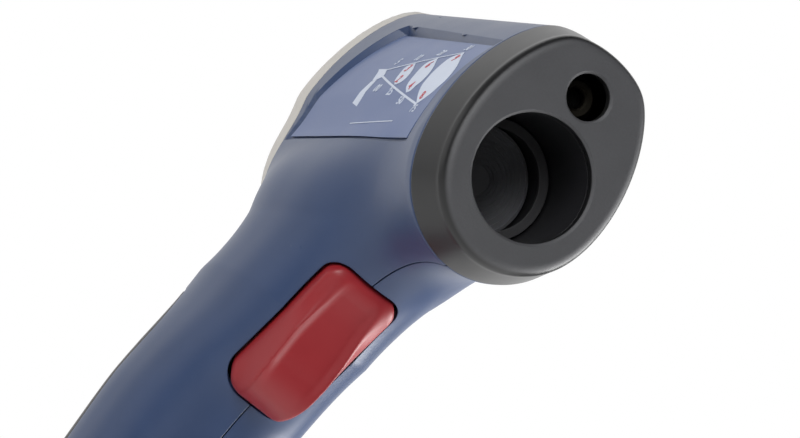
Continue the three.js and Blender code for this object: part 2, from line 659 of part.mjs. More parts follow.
function sensorHolder() {
  const block = rod(LENS_RADIUS, depth(HOLDER_FRONT), depth(HOLDER_BACK), 0, SENSOR_Z);
  const [from, to] = [depth(HOLDER_FRONT - 1), depth(HOLDER_BACK + 1)];
  return block.subtract(rod(SENSOR_CAN.radius + FIT_GAP, from, to, 0, SENSOR_Z));
}

function thermopile() {
  const back = depth(HOLDER_BACK);
  const front = back - SENSOR_CAN.length;
  const can = rod(SENSOR_CAN.radius - SENSOR_CAN.lip, front, back, 0, SENSOR_Z);
  const flange = rod(SENSOR_CAN.radius, back - SENSOR_CAN.flange, back, 0, SENSOR_Z);
  const pane = rod(SENSOR_CAN.pane, front - 1, front + 0.4, 0, SENSOR_Z);
  return can.add(flange).subtract(pane);
}

const sensorBoard = () => {
  const size = SENSOR_BOARD.size * SCALE;
  const front = depth(BOARD_FRONT);
  return plate(size, size, SENSOR_BOARD.corner, front, front + SENSOR_BOARD.thickness, SENSOR_Z);
};

function laserBarrel() {
  const [front, back] = [depth(LASER_DEPTH), depth(LASER_DEPTH + LASER_LENGTH)];
  const bore = LASER_LENS.radius + FIT_GAP;
  return rod(LASER_RADIUS, front, back, 0, LASER_Z)
    .subtract(rod(bore, front - 1, front + LASER_LENS.seat, 0, LASER_Z))
    .add(rod(LASER_RADIUS - LASER_TAIL.step, back - 0.5, back + LASER_TAIL.length, 0, LASER_Z));
}

function laserLens() {
  const front = depth(LASER_DEPTH + LASER_LENS.recess);
  return rod(LASER_LENS.radius, front, front + LASER_LENS.thickness, 0, LASER_Z);
}

// ---- Rear fascia, display and keys -------------------------------------------------------------
const WINDOW_Z = SENSOR_Z + WINDOW.rise;
const KEY_Z = SENSOR_Z + KEYS.rise;
const FASCIA_INNER = FASCIA_Y - WALL;
const keyPlaces = Array.from({ length: KEYS.count }, (_, i) => (i - (KEYS.count - 1) / 2) * KEYS.pitch);

function rearFascia() {
  const [width, height] = [WINDOW.width + 2 * FIT_GAP, WINDOW.height + 2 * FIT_GAP];
  const [inside, outside] = [FASCIA_INNER - 2, FASCIA_Y + 1];
  const seat = plate(width, height, WINDOW.corner + FIT_GAP, FASCIA_Y - WINDOW.seat, outside, WINDOW_Z);
  const [clearWidth, clearHeight] = [width - 2 * WINDOW.lip, height - 2 * WINDOW.lip];
  const through = plate(clearWidth, clearHeight, WINDOW.lip, inside, outside, WINDOW_Z);
  const room = plate(POCKET.width, POCKET.height, POCKET.corner, 0, FASCIA_INNER, SENSOR_Z + POCKET.rise);
  const body = outerSkin.intersect(fasciaBlock(0)).subtract(cavity).subtract(room).subtract(seat);
  return keyPlaces.reduce(
    (piece, x) => piece.subtract(rod(KEYS.radius + KEY_GAP, inside, outside, x, KEY_Z)),
    body.subtract(through),
  );
}

const windowPane = () => {
  const front = FASCIA_Y - WINDOW.seat + FIT_GAP;
  return plate(WINDOW.width, WINDOW.height, WINDOW.corner, front, front + WINDOW.thickness, WINDOW_Z);
};

const LCD_BACK = FASCIA_INNER - LCD.inset;
const LCD_FRONT = LCD_BACK - LCD.thickness;
const BOARD_BACK = FASCIA_Y - DISPLAY_BOARD.setback;

const lcdPanel = () => plate(LCD.width, LCD.height, 0.6, LCD_FRONT, LCD_BACK, WINDOW_Z);

function lcdFrame() {
  const [width, height] = [LCD.width - 2 * LCD_FRAME.inset, LCD.height - 2 * LCD_FRAME.inset];
  const low = BOARD_BACK + FIT_GAP;
  const outer = plate(width, height, 1, low, LCD_FRONT - FIT_GAP, WINDOW_Z);
  const [inWidth, inHeight] = [width - 2 * LCD_FRAME.border, height - 2 * LCD_FRAME.border];
  return outer.subtract(plate(inWidth, inHeight, 0.6, low + LCD_FRAME.floor, LCD_BACK, WINDOW_Z));
}

function keyCap(x) {
  const inner = FASCIA_Y + KEYS.proud - KEY_LENGTH;
  const cap = rod(KEYS.radius, inner, FASCIA_Y + KEYS.proud, x, KEY_Z, "y", 20);
  const skirt = FASCIA_INNER - SKIRT_GAP;
  return cap.add(rod(KEYS.radius + KEYS.flange, skirt - 1, skirt, x, KEY_Z, "y", 20));
}

function keyMat() {
  const back = FASCIA_Y + KEYS.proud - KEY_LENGTH - KEYS.travel - FIT_GAP;
  const [width, height] = [KEYS.pitch * KEYS.count, 2 * (KEYS.radius + KEY_MAT.margin)];
  const top = back - KEY_MAT.dome;
  const mat = plate(width, height, KEY_MAT.corner, BOARD_BACK + FIT_GAP, top, KEY_Z);
  return keyPlaces.reduce((piece, x) => piece.add(rod(KEY_MAT.radius, top - 0.2, back, x, KEY_Z)), mat);
}

function displayBoard() {
  const { width, height, corner, thickness, rise } = DISPLAY_BOARD;
  return plate(width, height, corner, BOARD_BACK - thickness, BOARD_BACK, SENSOR_Z + rise);
}

const BOARD_FACE = BOARD_BACK - DISPLAY_BOARD.thickness - FIT_GAP;
const controller = () => {
  const { x, rise, size, thickness } = CHIP;
  return box(x, BOARD_FACE - thickness / 2, SENSOR_Z + rise, size, thickness, size);
};
const buzzer = () => {
  const { x, rise, radius, length } = BUZZER;
  return rod(radius, BOARD_FACE - length, BOARD_FACE, x, SENSOR_Z + rise);
};

// A flat flex from the sensor board to the display board, arched between them.
function flexCable() {
  const [from, to] = [depth(BOARD_FRONT + SENSOR_BOARD.thickness) + FIT_GAP, BOARD_FACE];
  const line = Array.from({ length: FLEX.steps + 1 }, (_, i) => {
    const t = i / FLEX.steps;
    return [from + (to - from) * t, SENSOR_Z + FLEX.rise + FLEX.arch * Math.sin(Math.PI * t)];
  });
  const under = line.map(([y, z]) => [y, z - FLEX.thickness]).reverse();
  return sidePlate([...line, ...under], FLEX.from, FLEX.to);
}

// ---- Battery, snap and leads -----------------------------------------------------------------
// It leans with the back of the handle, and its back edges just clear the cover.
const batteryEnds = [-1, 1].map((side) => BATTERY.mid + (side * BATTERY.length) / 2);
const batteryLean = Math.atan((backLine(batteryEnds[0]) - backLine(batteryEnds[1])) / BATTERY.length);

function batterySeat() {
  const round = BATTERY.corner * (1 - Math.SQRT1_2);
  const [x, behind] = [BATTERY.width / 2 - round, BATTERY.depth / 2 - round];
  const [s, c] = [Math.sin(batteryLean), Math.cos(batteryLean)];
  const clearance = COVER.wall + FIT_GAP;
  const fits = (y) =>
    [-0.5, -0.25, 0, 0.25, 0.5].every((share) => {
      const w = share * BATTERY.length;
      return skinDistance(x, y + behind * c - w * s, BATTERY.mid + behind * s + w * c) < -clearance;
    });
  let [inside, outside] = [backLine(BATTERY.mid) - 2 * BATTERY.depth, backLine(BATTERY.mid)];
  for (let i = 0; i < 20; i++) {
    const mid = (inside + outside) / 2;
    if (fits(mid)) inside = mid;
    else outside = mid;
  }
  return inside;
}

const batteryFrame = new THREE.Matrix4().makeRotationX(batteryLean).setPosition(0, batterySeat(), BATTERY.mid);
const inBattery = (geometry) => solid(geometry.applyMatrix4(batteryFrame));

function uprightPlate(width, thick, corner, z0, z1) {
  const options = { depth: z1 - z0, bevelEnabled: false, curveSegments: 3 };
  return new THREE.ExtrudeGeometry(roundedShape(width, thick, corner), options).translate(0, 0, z0);
}

function battery() {
  const half = BATTERY.length / 2;
  const block = inBattery(uprightPlate(BATTERY.width, BATTERY.depth, BATTERY.corner, -half, half));
  const sunk = 0.5;
  return [-1, 1].reduce((body, side) => {
    const { radius, height, offset } = TERMINAL;
    const post = new THREE.CylinderGeometry(radius, radius, height + sunk, FINE_ROUND);
    post.rotateX(Math.PI / 2).translate(side * offset, 0, half + (height - sunk) / 2);
    return body.add(inBattery(post));
  }, block);
}

const SNAP_BASE = BATTERY.length / 2 + TERMINAL.height + FIT_GAP;
const SNAP_TOP = SNAP_BASE + SNAP.thickness;
const snap = () => inBattery(uprightPlate(SNAP.width, SNAP.depth, SNAP.corner, SNAP_BASE, SNAP_TOP));

function lead(side) {
  const start = new THREE.Vector3(side * 4, 0, SNAP_TOP + FIT_GAP).applyMatrix4(batteryFrame);
  const up = new THREE.Vector3(0, 0, 1).transformDirection(batteryFrame);
  const end = new THREE.Vector3(side * 10, BOARD_FACE - LEAD_RADIUS - 0.2, SENSOR_Z - 5);
  const curve = new THREE.CatmullRomCurve3([
    start,
    start.clone().addScaledVector(up, 5),
    new THREE.Vector3(side * 7, start.y - 1, (start.z + end.z) / 2),
    end.clone().add(new THREE.Vector3(0, -1.5, -6)),
    end,
  ]);
  const circle = new THREE.Shape().absarc(0, 0, LEAD_RADIUS, 0, 2 * Math.PI);
  return solid(new THREE.ExtrudeGeometry(circle, { steps: 14, extrudePath: curve, curveSegments: 4 }));
}

// ---- Battery cover -------------------------------------------------------------------------
function batteryCover() {
  const region = sidePlate(coverOutline(0, 0), -HEAD_WIDTH, HEAD_WIDTH);
  const panel = outerSkin.subtract(skinSolid(-COVER.wall, 0.5)).intersect(region);
  return [-1, 1].reduce((piece, side) => {
    const { x, width, length, thickness } = COVER_TAB;
    const y = COVER_HINGE.y - COVER.wall - length / 2 + 0.8;
    return piece.add(box(side * x, y, COVER_HINGE.z + thickness / 2 + 0.4, width, length, thickness));
  }, panel);
}

// ---- Trigger, its pin, spring and switch -----------------------------------------------------------
const ACTUATOR_TIP = SWITCH.reach - SWITCH.plunger - FIT_GAP;

// Everything under the trigger's face and flanks.
function triggerFaced() {
  const half = TRIGGER.width / 2;
  const rings = TRIGGER_FACE.map(([share, height, ridge]) => {
    const along = (share * TRIGGER.length) / 2;
    const brink = Math.min(TRIGGER.brink, height - 0.3);
    const side = [[half, -TRIGGER.reach], [half, brink], [ridge, height]];
    const other = side.map(([x, out]) => [-x, out]).reverse();
    return [...side, ...other].map(([x, out]) => {
      const place = new THREE.Vector3(x, along, out).applyMatrix4(triggerFrame);
      return [place.x, place.y, place.z];
    });
  });
  return loft(rings);
}

function trigger() {
  const faced = triggerFaced().subtract(skinSolid(-TRIGGER.skin, 0.5));
  const cap = faced.intersect(triggerPrism(0, TRIGGER.reach));
  const { radius, inner, outer } = TRIGGER_LUG;
  const { along, depth: pinDepth } = TRIGGER_PIN;
  const lugs = [-1, 1].map((side) => {
    const [a, b] = [side * inner, side * outer].sort((p, q) => p - q);
    return pinRod(radius, a, b).add(triggerBlock((a + b) / 2, along, b - a, 2 * radius, 2, pinDepth));
  });
  const bore = pinRod(TRIGGER_PIN.radius + PIN_GAP, -HEAD_WIDTH, HEAD_WIDTH);
  const actuator = triggerBlock(0, SWITCH.along, ACTUATOR.width, ACTUATOR.length, 1, ACTUATOR_TIP);
  return cap.add(lugs[0]).add(lugs[1]).add(actuator).subtract(bore);
}

const triggerPin = () => pinRod(TRIGGER_PIN.radius, -PIN_REACH, PIN_REACH);

// A coil of round wire about the pin, between the two lugs.
function triggerSpring() {
  const steps = SPRING.turns * 12;
  const points = Array.from({ length: steps + 1 }, (_, i) => {
    const t = (i / steps) * SPRING.turns * 2 * Math.PI;
    const [dy, dz] = [Math.cos(t), Math.sin(t)].map((v) => v * SPRING.coil);
    const [x, y, z] = [SPRING.span * (i / steps - 0.5), TRIGGER_PIN.along + dy, dz - TRIGGER_PIN.depth];
    return new THREE.Vector3(x, y, z).applyMatrix4(triggerFrame);
  });
  const circle = new THREE.Shape().absarc(0, 0, SPRING.wire, 0, 2 * Math.PI);
  const path = new THREE.CatmullRomCurve3(points);
  return solid(new THREE.ExtrudeGeometry(circle, { steps, extrudePath: path, curveSegments: 3 }));
}

const SWITCH_TOP = SWITCH.reach;
const SWITCH_BACK = SWITCH_TOP + SWITCH.body;

// The plunger's space, from its tip to a depth inside the switch.
function plungerBlock(grow, deep) {
  const size = PLUNGER.size + 2 * grow;
  return triggerBlock(0, SWITCH.along, size, size, SWITCH_TOP - SWITCH.plunger, SWITCH_TOP + deep);
}

function triggerSwitch() {
  const body = triggerBlock(0, SWITCH.along, SWITCH.size, SWITCH.size, SWITCH_TOP, SWITCH_BACK);
  return body.subtract(plungerBlock(FIT_GAP, SWITCH.travel + PLUNGER.held + FIT_GAP));
}

function switchBoard() {
  const { width, length, thickness } = SWITCH_BOARD;
  const face = SWITCH_BACK + FIT_GAP;
  return triggerBlock(0, SWITCH.along, width, length, face, face + thickness);
}

// ---- Label in the recess -----------------------------------------------------------------------
// A sheet lying over the recess floor, inside its walls.
function sideLabel() {
  const rings = RECESS_GRID.map((f) => {
    const t = LABEL.margin + f * (1 - 2 * LABEL.margin);
    const under = RECESS_GRID.map((g) => {
      const s = LABEL.margin / 2 + g * (1 - LABEL.margin);
      return recessPoint(t, s, LABEL.gap - recessDepth(t, s));
    });
    return [...under, ...under.map(([x, y, z]) => [x - LABEL.thickness, y, z]).reverse()];
  });
  return loft(rings);
}

// ---- Assembly ---------------------------------------------------------------------------------
const finish = (color, roughness, metalness = 0) => ({ color, roughness, metalness });
const FINISHES = {
  blue: finish(0x3c5078, 0.5),
  black: finish(0x3a3b3d, 0.6),
  tunnel: finish(0x141416, 0.45),
  red: finish(0x9a2328, 0.35),
  grey: finish(0x9b9894, 0.5),
  dark: finish(0x454345, 0.6),
  clear: finish(0xc8d4d8, 0.1),
  lcd: finish(0x8f9c86, 0.3),
  board: finish(0x1f5a3a, 0.5),
  steel: finish(0xb8babd, 0.3, 1),
  brass: finish(0xb08d4a, 0.3, 1),
  chip: finish(0x1b1b1d, 0.4),
  lens: finish(0x26282c, 0.2),
  battery: finish(0x2a4a36, 0.4),
  label: finish(0x435a86, 0.5),
  lead_red: finish(0xb02020, 0.5),
  rubber: finish(0x2b2b2d, 0.8),
};

const model = new THREE.Group();

function add(name, body, look) {
  const mesh = new THREE.Mesh(geometryOf(body), new THREE.MeshStandardMaterial(FINISHES[look]));
  mesh.name = name;
  model.add(mesh);
}

add("housing_left", housingHalf(-1), "blue");
add("housing_right", housingHalf(1), "blue");
add("nose_cap", noseCap(), "black");
add("sensor_tunnel", sensorTunnel(), "tunnel");
add("lens_ring", lensRing(), "black");
add("fresnel_lens", lens(), "lens");
add("sensor_holder", sensorHolder(), "tunnel");
add("thermopile_sensor", thermopile(), "steel");
add("sensor_board", sensorBoard(), "board");
add("laser_barrel", laserBarrel(), "brass");
add("laser_lens", laserLens(), "clear");
add("rear_fascia", rearFascia(), "grey");
add("display_window", windowPane(), "clear");
add("lcd_panel", lcdPanel(), "lcd");
add("lcd_frame", lcdFrame(), "tunnel");
keyPlaces.forEach((x, i) => add(`key_${["right", "middle", "left"][i]}`, keyCap(x), "rubber"));
add("key_mat", keyMat(), "rubber");
add("display_board", displayBoard(), "board");
add("controller_chip", controller(), "chip");
add("buzzer", buzzer(), "chip");
add("flex_cable", flexCable(), "tunnel");
add("battery", battery(), "battery");
add("battery_snap", snap(), "chip");
add("lead_positive", lead(1), "lead_red");
add("lead_negative", lead(-1), "chip");
add("battery_cover", batteryCover(), "dark");
add("trigger", trigger(), "red");
add("trigger_pin", triggerPin(), "steel");
add("trigger_spring", triggerSpring(), "steel");
add("trigger_switch", triggerSwitch(), "chip");
add("switch_plunger", plungerBlock(0, PLUNGER.held), "steel");
add("switch_board", switchBoard(), "board");
add("side_label", sideLabel(), "label");
SCREW_PLACES.forEach((place) => add(place.name, screw(place), "steel"));

export default model;
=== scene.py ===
"""Infrared thermometer: its looks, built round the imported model.

Sizes are in millimetres and become metres where a mesh is made. +Z is up, the nose points
along -Y and the printed side is -X.
"""
import json
import logging
import math
from collections.abc import Callable, Sequence
from dataclasses import dataclass, field
from enum import Enum

import bmesh
import bpy
import numpy as np
from mathutils import Matrix, Vector


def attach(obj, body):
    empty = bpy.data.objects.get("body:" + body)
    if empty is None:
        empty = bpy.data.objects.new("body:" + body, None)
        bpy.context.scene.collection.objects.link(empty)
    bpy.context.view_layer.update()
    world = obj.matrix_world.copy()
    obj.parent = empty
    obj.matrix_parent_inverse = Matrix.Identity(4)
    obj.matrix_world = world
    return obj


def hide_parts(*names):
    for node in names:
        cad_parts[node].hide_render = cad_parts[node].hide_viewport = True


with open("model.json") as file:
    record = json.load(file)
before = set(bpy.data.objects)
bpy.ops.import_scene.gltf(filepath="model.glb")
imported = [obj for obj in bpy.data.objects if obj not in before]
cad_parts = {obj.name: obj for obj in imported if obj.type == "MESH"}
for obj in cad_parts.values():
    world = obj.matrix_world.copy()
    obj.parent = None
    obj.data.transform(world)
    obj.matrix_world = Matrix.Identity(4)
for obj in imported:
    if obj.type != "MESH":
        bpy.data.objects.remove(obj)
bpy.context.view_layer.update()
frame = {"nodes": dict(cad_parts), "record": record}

MM = 0.001
FIT = 0.3  # gap between pieces that fit together
log = logging.getLogger("thermometer")
Point = Sequence[float]
Placer = Callable[[float, float, float], Point]


# ---- Solids -------------------------------------------------------------------------------


class Solid:
    """A closed mesh that is joined, cut and intersected with the +, - and & operators."""

    def __init__(self, mesh: bpy.types.Mesh) -> None:
        """Keeps the mesh, which is in metres."""
        self.mesh = mesh

    @classmethod
    def of(cls, points: np.ndarray, faces: Sequence[Sequence[int]]) -> "Solid":
        """Makes a solid whose faces point outwards.

        Args:
            points: Corners in millimetres, one row each.
            faces: Corner numbers of each face.

        Returns:
            The solid.
        """
        mesh = bpy.data.meshes.new("solid")
        mesh.from_pydata((np.asarray(points, float) * MM).tolist(), [], faces)
        shape = bmesh.new()
        shape.from_mesh(mesh)
        bmesh.ops.recalc_face_normals(shape, faces=shape.faces)
        if shape.calc_volume(signed=True) < 0:
            bmesh.ops.reverse_faces(shape, faces=shape.faces)
        shape.to_mesh(mesh)
        shape.free()
        return cls(mesh)

    def _combined(self, other: "Solid", operation: str) -> "Solid":
        """Runs one boolean operation.

        Args:
            other: The second solid.
            operation: UNION, DIFFERENCE or INTERSECT.

        Returns:
            The result as a new solid.
        """
        base, tool = (bpy.data.objects.new("solid", one.mesh) for one in (self, other))
        for piece in (base, tool):
            bpy.context.scene.collection.objects.link(piece)
        step = base.modifiers.new("step", "BOOLEAN")
        step.object, step.operation, step.solver = tool, operation, "MANIFOLD"
        graph = bpy.context.evaluated_depsgraph_get()
        made = bpy.data.meshes.new_from_object(base.evaluated_get(graph))
        for piece in (base, tool):
            bpy.data.objects.remove(piece)
        return Solid(made)

    def __add__(self, other: "Solid") -> "Solid":
        """Joins the two."""
        return self._combined(other, "UNION")

    def __sub__(self, other: "Solid") -> "Solid":
        """Cuts the other away."""
        return self._combined(other, "DIFFERENCE")

    def __and__(self, other: "Solid") -> "Solid":
        """Keeps what both hold."""
        return self._combined(other, "INTERSECT")


def walls(rows: int, count: int, closed: bool) -> list[tuple[int, ...]]:
    """Faces between rings of points.

    Args:
        rows: Number of rings.
        count: Points in each.
        closed: Whether the last ring joins the first.

    Returns:
        Corner numbers of each face.
    """
    faces = []
    for row in range(rows if closed else rows - 1):
        low, high = row * count, (row + 1) % rows * count
        for c in range(count):
            n = (c + 1) % count
            faces.append((low + c, low + n, high + n, high + c))
    return faces


def loft(rings: np.ndarray, tips: Sequence[np.ndarray] | None = None) -> Solid:
    """Closes a skin over equal rings, with a fan over each end.

    Args:
        rings: Points of shape (rings, points, 3).
        tips: Middle of each fan, or none for the middle of the ring.

    Returns:
        The solid.
    """
    rows, count = rings.shape[:2]
    first_tip, last_tip = tips if tips else (rings[0].mean(0), rings[-1].mean(0))
    points = np.vstack([rings.reshape(-1, 3), first_tip, last_tip])
    faces = walls(rows, count, False)
    first, last = rows * count, (rows - 1) * count
    for c in range(count):
        n = (c + 1) % count
        faces.append((first, n, c))
        faces.append((first + 1, last + c, last + n))
    return Solid.of(points, faces)


def tube(rings: np.ndarray) -> Solid:
    """Closes a skin over rings that come back to the first."""
    return Solid.of(rings.reshape(-1, 3), walls(rings.shape[0], rings.shape[1], True))


def lathe(profile: Sequence[Point], place: Point, axis: str = "y", segments: int = 96) -> Solid:
    """Turns a profile about an axis.

    Args:
        profile: Points of [radius, along]; it starts and ends on the axis, or closes on itself.
        place: The axis's place: (x, z) for an axis along Y, (y, z) for one along X.
        axis: x or y.
        segments: Steps in a turn.

    Returns:
        The solid.
    """
    turn = np.arange(segments) / segments * 2 * math.pi
    filled = profile[0][0] == 0
    rings = []
    for radius, along in profile[1:-1] if filled else [*profile, profile[0]]:
        a, b = place[0] + radius * np.cos(turn), place[1] + radius * np.sin(turn)
        t = np.full(segments, along)
        rings.append(np.column_stack([t, a, b] if axis == "x" else [a, t, b]))
    if filled:
        ends = (profile[0][1], profile[-1][1])
        tips = [np.array([t, *place] if axis == "x" else [place[0], t, place[1]]) for t in ends]
        return loft(np.stack(rings), tips)
    return tube(np.stack(rings[:-1]))


def rod(radius: float, low: float, high: float, place: Point, segments: int) -> Solid:
    """A round rod along X between two places."""
    return lathe([(0, low), (radius, low), (radius, high), (0, high)], place, "x", segments)


def eased(profile: Sequence[Point], radius: float, steps: int = 4) -> list[Point]:
    """Rounds the corners of a closed outline.

    Args:
        profile: Corners in order.
        radius: Run of the rounding along each side, held to a third of the side.
        steps: Points in each rounding.

    Returns:
        The rounded outline.
    """
    corners = [np.array(p, float) for p in profile]
    count = len(corners)
    out = []
    for i, corner in enumerate(corners):
        before, after = corners[i - 1] - corner, corners[(i + 1) % count] - corner
        run = min(radius, np.linalg.norm(before) / 3, np.linalg.norm(after) / 3)
        start = corner + before / np.linalg.norm(before) * run
        end = corner + after / np.linalg.norm(after) * run
        for k in range(steps + 1):
            t = k / steps
            out.append(tuple((1 - t) ** 2 * start + 2 * t * (1 - t) * corner + t * t * end))
    return out


def prism(outline: Sequence[Point], place: Placer, low: float, high: float) -> Solid:
    """Extrudes a flat outline.

    Args:
        outline: Corners [a, b] in order.
        place: Turns (a, b, depth) into a point in millimetres.
        low: Depth of one end.
        high: Depth of the other end.

    Returns:
        The solid.
    """
    count = len(outline)
    points = [place(a, b, d) for d in (low, high) for a, b in outline]
    faces = [tuple(range(count)), tuple(range(2 * count - 1, count - 1, -1))]
    faces += [(i, i + count, (i + 1) % count + count, (i + 1) % count) for i in range(count)]
    return Solid.of(np.array(points), faces)


def block(low: Point, high: Point) -> Solid:
    """A block between two corners."""
    outline = [(low[0], low[1]), (high[0], low[1]), (high[0], high[1]), (low[0], high[1])]
    return prism(outline, lambda a, b, d: (a, b, d), low[2], high[2])


def rounded_rectangle(
    width: float, height: float, top: float, bottom: float | None = None, steps: int = 10
) -> list[Point]:
    """Corners of a rounded rectangle about the origin, corner by corner.

    Args:
        width: Its width.
        height: Its height.
        top: Radius of its upper corners.
        bottom: Radius of its lower corners, or none for the same.
        steps: Points in each corner.

    Returns:
        The outline.
    """
    out = []
    for quarter, (sx, sy) in enumerate(((1, 1), (-1, 1), (-1, -1), (1, -1))):
        corner = top if sy > 0 or bottom is None else bottom
        for k in range(steps + 1):
            t = (quarter + k / steps) * math.pi / 2
            x = sx * (width / 2 - corner) + corner * math.cos(t)
            out.append((x, sy * (height / 2 - corner) + corner * math.sin(t)))
    return out


def upright(x: float, z: float) -> Placer:
    """Places outlines in the plane of X and Z, with depth along Y, about a centre."""
    return lambda a, b, d: (x + a, d, z + b)


# ---- Shader nodes ---------------------------------------------------------------------------

Colour = tuple | bpy.types.NodeSocket


class Value:
    """A number socket; arithmetic on it adds Math nodes."""

    def __init__(self, nodes: "Nodes", socket: bpy.types.NodeSocket) -> None:
        """Wraps a socket of a node tree."""
        self.nodes, self.socket = nodes, socket

    def _with(self, operation: str, a: "Value | float", b: "Value | float") -> "Value":
        """Adds one Math node."""
        return self.nodes.number("ShaderNodeMath", {"operation": operation}, {0: a, 1: b})

    def __add__(self, other: "Value | float") -> "Value":
        """Sum."""
        return self._with("ADD", self, other)

    __radd__ = __add__

    def __sub__(self, other: "Value | float") -> "Value":
        """Difference."""
        return self._with("SUBTRACT", self, other)

    def __rsub__(self, other: float) -> "Value":
        """Difference from a number."""
        return self._with("SUBTRACT", other, self)

    def __mul__(self, other: "Value | float") -> "Value":
        """Product."""
        return self._with("MULTIPLY", self, other)

    __rmul__ = __mul__


class Nodes:
    """Builds a node tree."""

    def __init__(self, tree: bpy.types.NodeTree) -> None:
        """Starts from an empty tree."""
        self.tree = tree
        tree.nodes.clear()

    def node(
        self, kind: str, settings: dict | None = None, sockets: dict | None = None
    ) -> bpy.types.Node:
        """Adds a node.

        Args:
            kind: The node's type.
            settings: Properties, which are set first.
            sockets: Input names or numbers, each with a value or a link.

        Returns:
            The node.
        """
        made = self.tree.nodes.new(kind)
        for key, value in (settings or {}).items():
            setattr(made, key, value)
        for key, value in (sockets or {}).items():
            if isinstance(value, Value):
                value = value.socket
            if isinstance(value, bpy.types.NodeSocket):
                self.tree.links.new(value, made.inputs[key])
            else:
                made.inputs[key].default_value = value
        return made

    def number(
        self,
        kind: str,
        settings: dict | None = None,
        sockets: dict | None = None,
        output: int | str = 0,
    ) -> Value:
        """Adds a node and gives one of its outputs as a value."""
        return Value(self, self.node(kind, settings, sockets).outputs[output])

    def here(self) -> bpy.types.NodeSocket:
        """The place on the piece, in metres."""
        return self.node("ShaderNodeTexCoord").outputs["Object"]

    def noise(self, size: float, detail: float = 3.0, stretch: Point = (1, 1, 1)) -> Value:
        """Noise from 0 to 1.

        Args:
            size: Size of its features in millimetres.
            detail: Number of finer layers.
            stretch: Factors by which the place is scaled first.

        Returns:
            The noise.
        """
        place = self.node(
            "ShaderNodeVectorMath", {"operation": "MULTIPLY"}, {0: self.here(), 1: stretch}
        ).outputs[0]
        sockets = {"Vector": place, "Scale": 1 / (size * MM), "Detail": detail, "Roughness": 0.55}
        return self.number("ShaderNodeTexNoise", None, sockets, "Fac")

    def band(self, value: Value, low: float, high: float) -> Value:
        """A smooth step from 0 at low to 1 at high."""
        sockets = {"Value": value, "From Min": low, "From Max": high}
        return self.number("ShaderNodeMapRange", {"interpolation_type": "SMOOTHSTEP"}, sockets)

    def blend(self, share: Value, first: Colour, second: Colour) -> bpy.types.NodeSocket:
        """Mixes two colours.

        Args:
            share: Share of the second.
            first: Three numbers or a link.
            second: Three numbers or a link.

        Returns:
            The mixed colour.
        """
        pair = [(*c, 1.0) if isinstance(c, tuple) else c for c in (first, second)]
        made = self.node("ShaderNodeMix", {"data_type": "RGBA"}, {0: share, 6: pair[0], 7: pair[1]})
        return made.outputs[2]


def srgb(*channels: int) -> tuple[float, ...]:
    """A screen colour of red, green and blue, each over 10, as linear light."""
    return tuple(((c / 255 + 0.055) / 1.055) ** 2.4 for c in channels)


def fresh(name: str) -> tuple[bpy.types.Material, Nodes]:
    """Starts a material.

    Args:
        name: Its name.

    Returns:
        The material and its empty node tree.
    """
    made = bpy.data.materials.new(name)
    made.use_nodes = True
    return made, Nodes(made.node_tree)


@dataclass(frozen=True)
class Moulding:
    """Moulded plastic or rubber: fine grain, slight mottling and softened edges."""

    name: str
    colour: tuple[float, float, float]
    roughness: float
    grain: float = 0.45  # size of the texture
    relief: float = 0.012  # depth of the texture
    mottle: float = 0.12  # share by which the colour varies
    edge: float = 0.25  # softening of the edges

    def material(self) -> bpy.types.Material:
        """Builds the finish.

        Returns:
            The material.
        """
        made, nodes = fresh(self.name)
        cloud = nodes.noise(9.0, 4.0)
        grain = nodes.noise(self.grain, 2.0)
        dark = tuple(c * (1 - self.mottle) for c in self.colour)
        light = tuple(min(1.0, c * (1 + self.mottle)) for c in self.colour)
        base = nodes.blend(cloud * 0.7 + grain * 0.3, dark, light)
        rough = self.roughness + (cloud - 0.5) * 0.08 + (grain - 0.5) * 0.06
        self.finish(nodes, base, rough, grain, self.relief)
        return made

    def finish(
        self, nodes: Nodes, base: bpy.types.NodeSocket, rough: Value, height: Value, relief: float
    ) -> None:
        """Ends the tree with the surface, its texture and its softened edges.

        Args:
            nodes: The tree.
            base: Colour.
            rough: Roughness.
            height: Height of the texture, from 0 to 1.
            relief: Depth of the texture in millimetres.
        """
        soft = nodes.node("ShaderNodeBevel", {"samples": 4}, {"Radius": self.edge * MM}).outputs[0]
        texture = {"Strength": 1.0, "Distance": relief * MM, "Height": height, "Normal": soft}
        sockets = {
            "Base Color": base,
            "Roughness": rough,
            "Normal": nodes.node("ShaderNodeBump", None, texture).outputs[0],
        }
        shader = nodes.node("ShaderNodeBsdfPrincipled", None, sockets).outputs[0]
        nodes.node("ShaderNodeOutputMaterial", None, {"Surface": shader})


@dataclass(frozen=True)
class NoseMoulding(Moulding):
    """The nose cap: an eroded texture on its flat face, smoother round the rim and sides."""

    face_y: float = -99.0
    face_grain: float = 0.55
    face_relief: float = 0.05
    face_colour: tuple[float, float, float] = (0.062, 0.063, 0.068)
    face_roughness: float = 0.62

    def material(self) -> bpy.types.Material:
        """Builds the finish.

        Returns:
            The material.
        """
        made, nodes = fresh(self.name)
        y = nodes.number("ShaderNodeSeparateXYZ", None, {0: nodes.here()}, "Y")
        face = 1 - nodes.band(y, (self.face_y + 0.25) * MM, (self.face_y + 1.1) * MM)
        cloud = nodes.noise(8.0, 3.0)
        speckle = nodes.noise(self.face_grain, 3.0)
        dark, light = (tuple(c * share for c in self.face_colour) for share in (0.8, 1.2))
        base = nodes.blend(face, self.colour, nodes.blend(cloud * 0.5 + speckle * 0.5, dark, light))
        rough = self.roughness + face * (self.face_roughness - self.roughness) + (cloud - 0.5) * 0.08
        self.finish(nodes, base, rough, speckle * (face * 0.9 + 0.1), self.face_relief)
        return made


